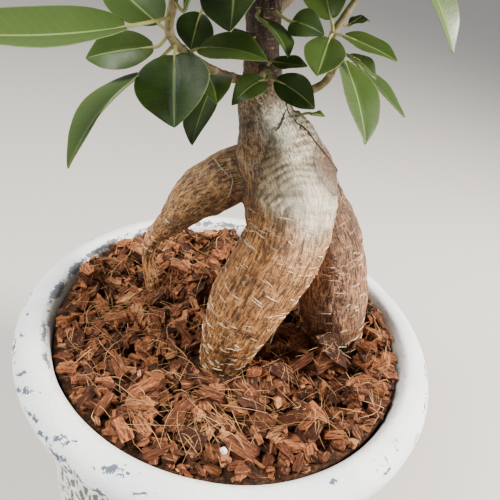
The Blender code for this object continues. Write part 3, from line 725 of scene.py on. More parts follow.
x, _, z = wood.T
patchy = soft_noise(wood, 9.0, 31) * 0.6 + soft_noise(wood, 4.0, 32) * 0.4
# How much the bark faces the front and the right, towards the light: the side on which the painted
# highlight and the pale patch are laid.
highlit_side = ramp_up(-facing[:, 1] + 0.4 * facing[:, 0], -0.1, 0.8)
core = blended(CORE_BROWN, NECK_BROWN, ramp_up(z + 5.0 * patchy, 238.0, 256.0))
core = blended(core, NECK_GREY, ramp_up(patchy, 0.0, 0.5) * ramp_up(z, 232.0, 246.0))
core = blended(core, LEFT_GOLD * 1.25, ramp_up(patchy, 0.1, 0.6) * (1.0 - ramp_up(z, 222.0, 238.0)))
grey_patch = np.exp(-(((x - 4.5) / 6.5) ** 2) - ((z - 257.0) / 7.5) ** 2)
front = blended(ROOT_TAN, ROOT_FOOT, 1.0 - ramp_up(z + 8.0 * patchy, 150.0, 186.0))
# The shoulder's wrinkles: crests painted lighter and troughs darker, the crests whiter towards the right
# where the light falls; painted highlight and painted shade over the bark's tan.
wrinkle_share = ramp_up(crests + 0.3 * patchy, -0.5, 0.45)
crest_tone = blended(CREST_TAN, CREST_HIGHLIGHT_WHITE, ramp_up(x + 3.0 * patchy, 3.0, 18.0))
wrinkle_tone = blended(TROUGH_OLIVE, crest_tone, wrinkle_share)
front = blended(front, wrinkle_tone, ramp_up(z + 6.0 * patchy, 220.0, 232.0))
# Painted highlight: a pale patch on the shoulder's right front, strongest where the bark faces the light,
# pale on the crests and darker in the troughs.
painted_highlight = np.exp(-(((x - 24.0) / 10.5) ** 2) - ((z - 238.0) / 16.0) ** 2) * highlit_side
highlit_wrinkle = blended(HIGHLIGHT_TROUGH, HIGHLIGHT_TAN, ramp_up(crests, -0.7, 0.1))
front = blended(front, highlit_wrinkle, painted_highlight * (1.2 + 0.4 * patchy))
right = blended(RIGHT_MAUVE, RIGHT_FOOT, 1.0 - ramp_up(z + 8.0 * patchy, 150.0, 190.0))
right = blended(right, RIGHT_MAUVE * 0.5, ramp_up(z + 8.0 * patchy, 196.0, 218.0))
left = blended(LEFT_GOLD, NECK_BROWN, ramp_up(patchy, 0.0, 0.6) * 0.6)
left = blended(left, LEFT_FOOT, 1.0 - ramp_up(z, 178.0, 198.0))
left = blended(left, NECK_BROWN * 0.7, ramp_up(x, -16.0, -4.0))
tone = sum(share_of[:, k, None] * part for k, part in enumerate((core, front, right, left)))
tone = blended(tone, STEM_BROWN, ramp_up(z + 3.0 * patchy, 266.0, 276.0))
tone = tone * (1.0 + 0.3 * soft_noise(wood, 2.2, 33) + 0.2 * soft_noise(wood, 5.0, 34))[:, None]
# Painted shade: darker in the sunken ribs and cracks of the wood, except under the painted highlight.
tone = tone * (1.0 - 0.4 * ramp_up(-troughs, 0.15, 0.75) * (1.0 - painted_highlight))[:, None]
# A pale grey patch on the neck, laid only where the bark faces the light: partly the bark's own patch,
# partly painted highlight.
lichen_and_highlight_share = grey_patch * (1.1 + 1.2 * patchy) * highlit_side
tone = blended(tone, LICHEN_AND_HIGHLIGHT_GREY, lichen_and_highlight_share)
meeting = 1.0 - np.abs(share_of.max(axis=1) * 2.0 - 1.0).clip(0.0, 1.0)
note(trunk_mesh, "bark_tone", np.clip(tone, 0.0, 1.0))
note(trunk_mesh, "own_place", own_place * MM)
# Painted shade in the creases where the limbs meet.
note(trunk_mesh, "crease_shade", meeting * ramp_up(stand_off.min(1), -6.0, 0.0))
note(trunk_mesh, "old_bark", ramp_up(z, 212.0, 240.0) * (1.0 - 0.8 * ramp_up(z, 262.0, 270.0)))
wrinkled_skin = share_of[:, 1] * ramp_up(z, 222.0, 234.0) * (1.0 - ramp_up(z, 262.0, 270.0))
# Where the fine bark pattern is eased back to the plain tone: most under the painted highlight, less on the
# pale patch and on the front root's wrinkled shoulder.
smooth_skin_and_highlight = 1.1 * painted_highlight + 0.6 * lichen_and_highlight_share + 0.55 * wrinkled_skin
note(trunk_mesh, "smooth_skin_and_highlight", np.clip(smooth_skin_and_highlight, 0.0, 1.0))

bark = Finish("ficus_bark", 0.7, Specular_IOR_Level=0.4)
own_bark_place = bark.noted("own_place", "Vector")
lengthwise = bark.place((1.0, 1.0, 0.2), own_bark_place)
crosswise = bark.place((0.22, 0.22, 1.0), own_bark_place)
base = bark.noted("bark_tone", "Color")
fibre = bark.noise(lengthwise, 900.0, 4.0, 0.75, 0.4)
crack = bark.noise(lengthwise, 1150.0, 3.0, 0.62, 0.3)
darker = bark.mix(1.0, base, (0.24, 0.17, 0.12), "MULTIPLY")
lighter = bark.mix(1.0, base, (1.9, 1.8, 1.6), "MULTIPLY")
base = bark.mix(bark.span(fibre, 0.40, 0.54, 0.85, 0.0), base, darker)
base = bark.mix(bark.span(fibre, 0.53, 0.64, 0.0, 0.8), base, lighter)
base = bark.mix(bark.span(crack, 0.46, 0.40, 0.0, 0.9), base, (0.055, 0.026, 0.012))
dash = bark.noise(crosswise, 800.0, 3.0, 0.6)
base = bark.mix(bark.span(dash, 0.60, 0.68, 0.0, 0.6), base, (0.66, 0.49, 0.33))
base = bark.mix(bark.span(dash, 0.38, 0.30, 0.0, 0.6), base, (0.08, 0.043, 0.024))
flecks = bark.noise(own_bark_place, 1000.0, 4.0, 0.65)
fleck_share = bark.sum("MULTIPLY", bark.span(flecks, 0.57, 0.65, 0.0, 0.6), bark.noted("old_bark"))
base = bark.mix(fleck_share, base, (0.88, 0.84, 0.72))
dark_fleck = bark.sum("MULTIPLY", bark.span(flecks, 0.42, 0.34, 0.0, 0.45), bark.noted("old_bark"))
base = bark.mix(dark_fleck, base, (0.07, 0.05, 0.03))
# The fine bark pattern eased back under the painted highlight and on the smooth wrinkled skin.
smooth_and_highlight_share = bark.sum("MULTIPLY", bark.noted("smooth_skin_and_highlight"), 0.75)
base = bark.mix(smooth_and_highlight_share, base, bark.noted("bark_tone", "Color"))
# Painted shade in the creases between the limbs.
base = bark.mix(bark.sum("MULTIPLY", bark.noted("crease_shade"), 0.45), base, (0.05, 0.03, 0.018))
bark_height = bark.sum("ADD", bark.sum("MULTIPLY", fibre, 0.9), bark.sum("MULTIPLY", crack, 0.8))
bark_height = bark.sum("ADD", bark_height, bark.sum("MULTIPLY", dash, 0.5))
bark_height = bark.sum("ADD", bark_height, bark.sum("MULTIPLY", flecks, 0.6))
ficus_bark = bark.finish(
    base, bark.bump(bark_height, 1.0, 0.0022), bark.span(fibre, 0.3, 0.7, 0.80, 0.58)
)
trunk = add_piece("wood_of_trunk_and_roots", trunk_mesh, [ficus_bark], ["trunk_with_roots"])

# Corky dashes: short raised lips of cork across the roots, each laid on the bark.
bpy.context.view_layer.update()
bark_skin = BVHTree.FromObject(trunk, bpy.context.evaluated_depsgraph_get())


def on_bark(outside, inwards):
    """Where lines from outside the wood first meet the bark, the bark's direction there, and
    whether they meet it at all."""
    hits = [bark_skin.ray_cast(Vector(p * MM), Vector(d)) for p, d in zip(outside, inwards)]
    met = np.array([hit[0] is not None for hit in hits])
    points = np.array([hit[0] if hit[0] is not None else (0, 0, 0) for hit in hits]) / MM
    normals = np.array([hit[1] if hit[1] is not None else (0, 0, 1) for hit in hits])
    return points, normals, met


def laid_strips(lines, normals, half_width, rise):
    """Closed strips laid on a surface along many lines of points: four points round each station,
    half_width to each side, rise above and as much below."""
    way = unit(np.gradient(lines, axis=1))
    aside = unit(np.cross(normals, way))
    middle = lines + normals * 0.02
    around = [aside * half_width, normals * rise, -aside * half_width, -normals * rise]
    rings = np.stack([middle + step for step in around], axis=2)
    count, stations = lines.shape[:2]
    sides = grid_quads(stations, 4)
    last = 4 * (stations - 1)
    ends = np.array([[3, 2, 1, 0], [last, last + 1, last + 2, last + 3]])
    faces = repeated(np.concatenate([sides, ends]), count, 4 * stations)
    return rings.reshape(-1, 3), faces


dash_random = np.random.default_rng(41)
dash_lines, dash_normals = [], []
for name, path in limbs.items():
    total = DASH_COUNTS[name]
    lowest = 170.0 if name == "left_root" else 141.0
    shown = np.flatnonzero((path[:, 2] > lowest) & (path[:, 2] < DASH_HEIGHTS[name]))
    band = dash_random.choice(shown, 22)
    in_band = dash_random.random(total) < 0.5
    station = np.where(in_band, dash_random.choice(band, total), dash_random.choice(shown, total))
    along, side, other = path_frames(path)
    middle_angle = dash_random.uniform(0.0, math.tau, total)
    length = dash_random.uniform(1.4, 6.6, total) * np.clip(path[station, 3] / 14.0, 0.45, 1.0)
    sweep = np.linspace(-0.5, 0.5, DASH_STATIONS)[None, :]
    angle = middle_angle[:, None] + sweep * (length / path[station, 3])[:, None]
    slip = dash_random.uniform(-1.3, 1.3, total)[:, None]
    slip = slip + 1.3 * sweep * dash_random.uniform(-1, 1, total)[:, None]
    out = side[station][:, None] * np.cos(angle)[..., None]
    out = out + other[station][:, None] * np.sin(angle)[..., None]
    outside = path[station, None, :3] + along[station][:, None] * slip[..., None]
    outside = outside + out * (path[station, 3] + 3.5)[:, None, None]
    hit, normal, met = on_bark(outside.reshape(-1, 3), -out.reshape(-1, 3))
    hit, normal = hit.reshape(outside.shape), normal.reshape(outside.shape)
    near = np.linalg.norm(hit - outside, axis=-1).max(axis=1) < 6.5
    keep = met.reshape(total, DASH_STATIONS).all(axis=1) & near & (hit[..., 2].min(axis=1) > 140.0)
    dash_lines.append(hit[keep])
    dash_normals.append(normal[keep])
dash_lines = np.concatenate(dash_lines)
dash_normals = unit(np.concatenate(dash_normals))
taper = np.sin(np.linspace(0.08, 0.92, DASH_STATIONS) * math.pi) ** 0.6
dash_size = dash_random.uniform(0.6, 1.35, (len(dash_lines), 1, 1))
dash_points, dash_faces = laid_strips(
    dash_lines,
    dash_normals,
    DASH_HALF_WIDTH * dash_size * taper[None, :, None],
    DASH_RISE * dash_size * taper[None, :, None],
)
cork = Finish("pale_cork", 0.85, Specular_IOR_Level=0.2)
cork_grain = cork.noise(cork.place(), 1600.0, 3.0)
pale_cork = cork.finish(
    cork.mix(cork.span(cork_grain, 0.35, 0.65), (0.42, 0.26, 0.14), (0.80, 0.62, 0.43)),
    cork.bump(cork_grain, 0.3, 0.0003),
)
add_piece("cork_dashes", shape_mesh("cork_dashes", dash_points, dash_faces), [pale_cork])

# Rootlets that cling to the bark: a dark one down the shoulder where the right root leaves it,
# its side shoot, and pale ones on the left root. Rows are points just off the bark.
DARK_ROOTLETS = [
    [(4, -3, 264), (6, -6, 261), (9, -8, 259), (14, -9, 257), (19, -10, 253), (23, -10, 249), (27, -9, 244),
     (30, -4, 239), (33, 0, 234), (37, -1, 227)],
    [(6, -7, 261), (5, -10, 259), (4, -12, 256), (3, -13, 254)],
]
PALE_ROOTLETS = [
    [(-11, -7, 232), (-10, -9, 229), (-10, -8, 224), (-11, -6, 219)],
    [(-19, 0, 233), (-14, -6, 232), (-11, -8, 230)],
]
# Pale rootlets that hang free in the gap between the front root and the right root.
HANGING_ROOTLETS = [
    [(27, -3, 178), (28, -4, 174), (30, -5, 169), (30, -4, 163)],
    [(22, -9, 171), (23, -10, 166), (21, -10, 157), (20, -12, 146)],
]


def clinging(rows):
    """A rootlet's rows moved onto the nearest bark."""
    nearest = [bark_skin.find_nearest(Vector(row) * MM) for row in rows]
    return np.array([place / MM + normal * 0.15 for place, normal, _, _ in nearest])


def rootlet(points, thickness, seed):
    """A thin tube along a rootlet's points, uneven in thickness and drawn in at both ends."""
    path = smooth_path(points, 8)
    length = run_length(path) / run_length(path)[-1]
    thick = thickness * (0.85 + 0.3 * np.sin(length * 31.0 + seed)) * np.sin(0.15 + 2.8 * length) ** 0.4
    return tube(np.column_stack([path, thick]), 6)


dark_skin = Finish("dark_rootlet_skin", 0.8)
dark_rootlet = dark_skin.finish(
    dark_skin.mix(dark_skin.noise(dark_skin.place(), 900.0), (0.028, 0.016, 0.010), (0.085, 0.05, 0.03))
)
pale_skin = Finish("pale_rootlet_skin", 0.75)
pale_rootlet = pale_skin.finish(
    pale_skin.mix(pale_skin.noise(pale_skin.place(), 700.0), (0.26, 0.17, 0.10), (0.58, 0.45, 0.31))
)
dark_tubes = [rootlet(clinging(smooth_path(rows, 3)), 0.34, k) for k, rows in enumerate(DARK_ROOTLETS)]
pale_tubes = [rootlet(clinging(smooth_path(rows, 3)), 0.30, k) for k, rows in enumerate(PALE_ROOTLETS)]
pale_tubes += [rootlet(rows, 0.5, k) for k, rows in enumerate(HANGING_ROOTLETS)]
add_piece("dark_rootlets", joined("dark_rootlets", dark_tubes), [dark_rootlet])
add_piece("pale_rootlets", joined("pale_rootlets", pale_tubes), [pale_rootlet])

# ---------------------------------------------------------------------------------------------
# The mulch. Torn chips of coco husk with curled coir fibres and one grain of perlite, poured on
# the soil round the roots and higher against the rim at the right and at the back left.
# ---------------------------------------------------------------------------------------------
MULCH_REACH = 83.2
BED_TOP = 141.2
BED_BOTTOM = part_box("coco_chip_mulch")[0].z / MM + 0.3
CHIP_LIMIT = 84.6
FIBRE_LIMIT = 82.0
MAP_STEP = 0.8
CHIP_COUNT = 3000
CHIP_STATIONS = 5
FIBRE_COUNT = 1100
FIBRE_STATIONS = 12
TUFT_COUNT = 26
TUFT_AT = (-11.0, -47.0)
PERLITE_AT = (6.0, -75.0)


def bed_height(x, y):
    """The heap's height: low waves, raised against the rim at the right and at the back left."""
    reach = np.hypot(x, y)
    angle = np.degrees(np.arctan2(x, -y))
    against_rim = ramp_up(reach, 60.0, 82.0)
    right_heap = np.exp(-(((angle - 68.0) / 52.0) ** 2))
    left_heap = np.exp(-((((angle + 128.0 + 180.0) % 360.0 - 180.0) / 36.0) ** 2))
    flat = np.stack([x, y, np.zeros_like(x)], axis=-1)
    heaped = 3.0 + 2.6 * np.maximum(right_heap, left_heap)
    return BED_TOP + 1.3 * soft_noise(flat, 21.0, 51) + against_rim * heaped


BED_ROWS, BED_COLUMNS = 60, 150
bed_share = np.linspace(0.0, 1.0, BED_ROWS + 1)[1:]
bed_turn = np.arange(BED_COLUMNS) * math.tau / BED_COLUMNS
bed_x = MULCH_REACH * bed_share[:, None] * np.sin(bed_turn)
bed_y = -MULCH_REACH * bed_share[:, None] * np.cos(bed_turn)
bed_top = np.stack([bed_x, bed_y, bed_height(bed_x, bed_y)], axis=-1)
bed_top[..., 2] += 0.7 * soft_noise(bed_top, 2.6, 52)
bed_edge = bed_top[-1] * (0.975, 0.975, 0.0) + (0.0, 0.0, BED_BOTTOM)
bed_centre = np.array([[0.0, 0.0, bed_top[0, :, 2].mean()], [0.0, 0.0, BED_BOTTOM]])
bed_points = np.concatenate([bed_top.reshape(-1, 3), bed_edge, bed_centre])
bed_next = (np.arange(BED_COLUMNS) + 1) % BED_COLUMNS
bed_rim = BED_ROWS * BED_COLUMNS
top_middle = np.full(BED_COLUMNS, bed_rim + BED_COLUMNS)
top_fan = np.stack([top_middle, bed_next, np.arange(BED_COLUMNS)], axis=1)
under_middle = np.full(BED_COLUMNS, bed_rim + BED_COLUMNS + 1)
under_fan = np.stack([under_middle, np.arange(BED_COLUMNS) + bed_rim, bed_next + bed_rim], axis=1)
bed_mesh = shape_mesh(
    "mulch_bed", bed_points, grid_quads(BED_ROWS + 1, BED_COLUMNS), np.concatenate([top_fan, under_fan])
)
husk = Finish("coco_husk_dust", 0.95, Specular_IOR_Level=0.15)
husk_grain = husk.noise(husk.place(), 500.0, 5.0, 0.7)
husk_dust = husk.finish(
    husk.mix(husk.span(husk_grain, 0.4, 0.75), (0.018, 0.008, 0.004), (0.11, 0.045, 0.02)),
    husk.bump(husk_grain, 0.8, 0.0015),
)
add_piece("bed_of_husk_dust", bed_mesh, [husk_dust], ["coco_chip_mulch"])

# The roots where they pass the mulch: x, y and the reach that the chips keep from each.
FEET = []
for name in ("front_root", "right_root", "left_root"):
    path = limbs[name]
    level = path[np.argmin(np.abs(path[:, 2] - 145.0))]
    FEET.append((level[0], level[1], level[3]))
FEET = np.array(FEET)

mulch_random = np.random.default_rng(7)
half_cells = int(90.0 / MAP_STEP)
cell_at = (np.arange(2 * half_cells + 1) - half_cells) * MAP_STEP
cell_x, cell_y = np.meshgrid(cell_at, cell_at, indexing="ij")
heap = bed_height(cell_x, cell_y)

radius = MULCH_REACH * np.sqrt(mulch_random.random(CHIP_COUNT))
angle = mulch_random.uniform(0.0, math.tau, CHIP_COUNT)
chip_x, chip_y = radius * np.sin(angle), radius * np.cos(angle)
# The chips laid last are the larger ones: a few are 10 to 16 long and nearly as wide.
laid_late = np.linspace(0.0, 1.0, CHIP_COUNT) ** 0.8
grade = mulch_random.random(CHIP_COUNT)
chip_length = 3.0 + 3.6 * grade + laid_late * (3.4 * grade**3 + 6.0 * grade**9)
chip_width = np.minimum(chip_length * mulch_random.uniform(0.30, 0.85, CHIP_COUNT), 7.6)
chip_thick = np.clip(chip_width * mulch_random.uniform(0.35, 0.75, CHIP_COUNT), 0.9, 3.6)
heading = mulch_random.uniform(0.0, math.tau, CHIP_COUNT)
chip_z = np.zeros(CHIP_COUNT)
chip_pitch = np.zeros(CHIP_COUNT)
clear_of_feet = np.ones(CHIP_COUNT, dtype=bool)
for x0, y0, foot_radius in FEET:
    clear_of_feet &= np.hypot(chip_x - x0, chip_y - y0) > foot_radius + 0.2 + 0.25 * chip_width
inside = radius + 0.36 * chip_length < MULCH_REACH
laid = []
for chip in np.flatnonzero(clear_of_feet & inside):
    reach = chip_length[chip] / 2
    low = ((np.array([chip_x[chip], chip_y[chip]]) - reach) / MAP_STEP + half_cells).astype(int)
    high = ((np.array([chip_x[chip], chip_y[chip]]) + reach) / MAP_STEP + half_cells).astype(int) + 2
    window = (slice(low[0], high[0]), slice(low[1], high[1]))
    dx, dy = cell_x[window] - chip_x[chip], cell_y[window] - chip_y[chip]
    c, s = math.cos(heading[chip]), math.sin(heading[chip])
    u, v = dx * c + dy * s, dy * c - dx * s
    covered = (np.abs(u) < reach) & (np.abs(v) < chip_width[chip] / 2)
    if covered.sum() < 3:
        continue
    under = heap[window][covered]
    slope = np.polyfit(u[covered], under, 1)[0]
    tilt = float(np.clip(slope, -0.55, 0.55))
    bottom = np.percentile(under, 62.0)
    chip_z[chip] = bottom + 0.42 * chip_thick[chip]
    chip_pitch[chip] = tilt
    top = bottom + 0.8 * chip_thick[chip] + tilt * u[covered]
    heap[window][covered] = np.maximum(under, np.minimum(top, bottom + 3.0))
    laid.append(chip)
laid = np.array(laid)
total = len(laid)

# Four corners at each of five stations: flat sides, ends broken off blunt or drawn in, all uneven.
station = np.linspace(-0.5, 0.5, CHIP_STATIONS)
corner = np.arange(4) * math.tau / 4 + 0.7
shape_u = station[None, :, None] * chip_length[laid][:, None, None] * np.ones((1, 1, 4))
torn = mulch_random.normal(0.0, 0.07, (total, CHIP_STATIONS, 4))
shape_u = shape_u + torn * chip_length[laid][:, None, None]
blunt = mulch_random.uniform(0.35, 1.0, (total, 2))
draw = mulch_random.uniform(0.82, 1.12, (total, CHIP_STATIONS, 1))
draw[:, 0, 0], draw[:, -1, 0] = blunt[:, 0], blunt[:, 1]
uneven = mulch_random.uniform(0.74, 1.2, (total, CHIP_STATIONS, 4))
shape_v = 1.3 * np.cos(corner) * draw * uneven * chip_width[laid][:, None, None] / 2
shape_w = 1.3 * np.sin(corner) * draw * uneven[..., ::-1] * chip_thick[laid][:, None, None] / 2
curl = mulch_random.normal(0.0, 0.3, total) * chip_length[laid] / 8.0
shape_w = shape_w + curl[:, None, None] * (4.0 * station[None, :, None] ** 2 - 0.5)
roll = mulch_random.normal(0.0, 0.28, total)[:, None, None]
pitch = np.arctan(chip_pitch[laid] + mulch_random.normal(0.0, 0.1, total))[:, None, None]
rolled_v = shape_v * np.cos(roll) - shape_w * np.sin(roll)
rolled_w = shape_v * np.sin(roll) + shape_w * np.cos(roll)
pitched_u = shape_u * np.cos(pitch) - rolled_w * np.sin(pitch)
pitched_w = shape_u * np.sin(pitch) + rolled_w * np.cos(pitch)
way = heading[laid][:, None, None]
chip_points = np.stack(
    [
        chip_x[laid][:, None, None] + pitched_u * np.cos(way) - rolled_v * np.sin(way),
        chip_y[laid][:, None, None] + pitched_u * np.sin(way) + rolled_v * np.cos(way),
        chip_z[laid][:, None, None] + pitched_w,
    ],
    axis=-1,
)
over_rim = np.hypot(chip_points[..., 0], chip_points[..., 1])
chip_points[..., :2] *= np.minimum(1.0, CHIP_LIMIT / np.maximum(over_rim, 1.0))[..., None]
chip_sides = grid_quads(CHIP_STATIONS, 4)
last = 4 * (CHIP_STATIONS - 1)
chip_ends = np.array([[3, 2, 1, 0], [last, last + 1, last + 2, last + 3]])
one_chip = np.concatenate([chip_sides, chip_ends])
chip_tone = mulch_random.random(total)
grain_place = np.stack([shape_u, shape_v, shape_w], axis=-1)
grain_place = grain_place + mulch_random.uniform(-300, 300, (total, 1, 1, 3))

coco = Finish("torn_coco_husk", 0.88, Specular_IOR_Level=0.22)
grain_way = coco.place((0.16, 1.0, 1.0), coco.noted("grain_place", "Vector"))
chip_grain = coco.noise(grain_way, 1200.0, 4.0, 0.7)
chip_blotch = coco.noise(coco.place((1.0, 1.0, 1.0), coco.noted("grain_place", "Vector")), 240.0, 2.0)
own_tone = coco.noted("tone")
husk_colour = coco.mix(coco.span(own_tone, 0.0, 0.45), (0.022, 0.007, 0.003), (0.105, 0.032, 0.011))
husk_colour = coco.mix(coco.span(own_tone, 0.45, 0.88), husk_colour, (0.30, 0.10, 0.036))
husk_colour = coco.mix(coco.span(own_tone, 0.90, 1.0, 0.0, 0.85), husk_colour, (0.46, 0.215, 0.09))
husk_colour = coco.mix(coco.span(chip_grain, 0.54, 0.38, 0.0, 0.9), husk_colour, (0.018, 0.005, 0.002))
husk_colour = coco.mix(coco.span(chip_grain, 0.56, 0.70, 0.0, 0.6), husk_colour, (0.56, 0.25, 0.108))
husk_colour = coco.mix(coco.span(chip_blotch, 0.52, 0.72, 0.0, 0.5), husk_colour, (0.06, 0.018, 0.007))
coco_husk = coco.finish(husk_colour, coco.bump(chip_grain, 0.8, 0.0008))
for number, part in enumerate(np.array_split(np.arange(total), 2), start=1):
    chip_faces = repeated(one_chip, len(part), 4 * CHIP_STATIONS)
    chip_mesh = shape_mesh(f"chips_{number}", chip_points[part].reshape(-1, 3), chip_faces)
    chip_mesh.set_sharp_from_angle(angle=math.radians(28.0))
    note(chip_mesh, "tone", np.repeat(chip_tone[part], 4 * CHIP_STATIONS))
    note(chip_mesh, "grain_place", grain_place[part].reshape(-1, 3) * MM)
    add_piece(f"coco_husk_chips_{number}", chip_mesh, [coco_husk])

# Coir fibres: thin hairs that lie curled on the chips, with a fan of them near the front.
fibre_start = mulch_random.uniform(0.0, 1.0, (FIBRE_COUNT, 2))
radius = (MULCH_REACH - 4.0) * np.sqrt(fibre_start[:, 0])
angle = fibre_start[:, 1] * math.tau
start_x, start_y = radius * np.sin(angle), radius * np.cos(angle)
fibre_heading = mulch_random.uniform(0.0, math.tau, FIBRE_COUNT)
fibre_length = 3.5 + 8.0 * mulch_random.random(FIBRE_COUNT) + 18.0 * mulch_random.random(FIBRE_COUNT) ** 6
tuft = np.arange(FIBRE_COUNT) < TUFT_COUNT
start_x[tuft] = TUFT_AT[0] + mulch_random.normal(0, 1.2, TUFT_COUNT)
start_y[tuft] = TUFT_AT[1] + mulch_random.normal(0, 1.2, TUFT_COUNT)
fibre_heading[tuft] = mulch_random.normal(-0.9, 0.75, TUFT_COUNT)
fibre_length[tuft] = mulch_random.uniform(14.0, 34.0, TUFT_COUNT)
share = np.linspace(0.0, 1.0, FIBRE_STATIONS)[None, :]
bend = mulch_random.normal(0.0, 0.55, FIBRE_COUNT)[:, None] * share
bend = bend + mulch_random.normal(0.0, 0.16, FIBRE_COUNT)[:, None] * np.sin(share * 6.0)
direction = fibre_heading[:, None] + bend
step = (fibre_length / (FIBRE_STATIONS - 1))[:, None]
fibre_x = start_x[:, None] + np.cumsum(np.cos(direction) * step, axis=1)
fibre_y = start_y[:, None] + np.cumsum(np.sin(direction) * step, axis=1)
reach = np.hypot(fibre_x, fibre_y)
within = np.minimum(1.0, FIBRE_LIMIT / np.maximum(reach, 1.0))
fibre_x, fibre_y = fibre_x * within, fibre_y * within
fibre_cell = (np.stack([fibre_x, fibre_y]) / MAP_STEP + half_cells).round().astype(int)
fibre_cell = np.clip(fibre_cell, 0, 2 * half_cells)
rest = heap[fibre_cell[0], fibre_cell[1]]
rest = rest.mean(axis=1)[:, None] + (rest[:, -1:] - rest[:, :1]) * (share - 0.5)
hop = mulch_random.uniform(0.2, 1.8, FIBRE_COUNT)[:, None] * np.sin(share * math.pi)
hop = hop + np.clip(mulch_random.normal(0.0, 1.6, FIBRE_COUNT), 0.0, 5.0)[:, None] * share
fibre_z = rest + 0.9 + hop
fibre_lines = np.stack([fibre_x, fibre_y, fibre_z], axis=-1)
free = np.ones(FIBRE_COUNT, dtype=bool)
for x0, y0, foot_radius in FEET:
    free &= np.hypot(fibre_x - x0, fibre_y - y0).min(axis=1) > foot_radius + 0.8
fibre_lines = fibre_lines[free]
fibre_radius = mulch_random.uniform(0.07, 0.15, len(fibre_lines))
fibre_way = unit(np.gradient(fibre_lines, axis=1))
across = unit(np.cross(fibre_way, (0.02, 0.03, 1.0)))
upright = np.cross(across, fibre_way)
corner = np.arange(3) * math.tau / 3
ring = across[:, :, None] * np.cos(corner)[None, None, :, None]
ring = ring + upright[:, :, None] * np.sin(corner)[None, None, :, None]
thin_ends = np.sin(np.linspace(0.1, 0.9, FIBRE_STATIONS) * math.pi) ** 0.5
fibre_points = fibre_lines[:, :, None] + ring * (fibre_radius[:, None] * thin_ends[None])[:, :, None, None]
last = 3 * (FIBRE_STATIONS - 1)
fibre_faces = repeated(grid_quads(FIBRE_STATIONS, 3), len(fibre_lines), 3 * FIBRE_STATIONS)
one_fibre_ends = np.array([[2, 1, 0], [last, last + 1, last + 2]])
fibre_ends = repeated(one_fibre_ends, len(fibre_lines), 3 * FIBRE_STATIONS)
fibre_mesh = shape_mesh("fibres", fibre_points.reshape(-1, 3), fibre_faces, fibre_ends)
note(fibre_mesh, "tone", np.repeat(mulch_random.random(len(fibre_lines)), 3 * FIBRE_STATIONS))
coir = Finish("coir_fibre", 0.6, Specular_IOR_Level=0.3)
coir_colour = coir.mix(coir.noted("tone"), (0.20, 0.075, 0.025), (0.68, 0.39, 0.165))
coir_blotch = coir.span(coir.noise(coir.place(), 300.0), 0.4, 0.7, 0.0, 0.5)
coir_colour = coir.mix(coir_blotch, coir_colour, (0.13, 0.05, 0.02))
coir_fibre = coir.finish(coir_colour)
add_piece("coir_fibres", fibre_mesh, [coir_fibre])

# One grain of perlite, a lumpy white bead on the chips.
BEAD_ROWS, BEAD_COLUMNS = 12, 20
bead_turn = np.arange(BEAD_COLUMNS) * math.tau / BEAD_COLUMNS
bead_rise = np.linspace(-1.0, 1.0, BEAD_ROWS) * 1.45
bead = np.stack(
    [
        np.cos(bead_rise)[:, None] * np.cos(bead_turn),
        np.cos(bead_rise)[:, None] * np.sin(bead_turn),
        np.sin(bead_rise)[:, None] * np.ones(BEAD_COLUMNS),
    ],
    axis=-1,
).reshape(-1, 3)
bead_cell = (np.array(PERLITE_AT) / MAP_STEP + half_cells).round().astype(int)
bead = bead * (1.2 + 0.5 * soft_noise(bead, 0.7, 61))[:, None]
bead += (*PERLITE_AT, heap[tuple(bead_cell)] + 1.0)
bead_round = np.arange(BEAD_COLUMNS)
bead_caps = np.array([bead_round[::-1], bead_round + (BEAD_ROWS - 1) * BEAD_COLUMNS])
perlite = Finish("perlite", 0.9, Specular_IOR_Level=0.3)
white_perlite = perlite.finish(
    perlite.mix(perlite.noise(perlite.place(), 1500.0), (0.62, 0.60, 0.55), (0.88, 0.87, 0.84)),
    perlite.bump(perlite.noise(perlite.place(), 1800.0), 0.5, 0.0004),
)
bead_mesh = shape_mesh("perlite", bead, grid_quads(BEAD_ROWS, BEAD_COLUMNS), bead_caps)
add_piece("perlite_grain", bead_mesh, [white_perlite])

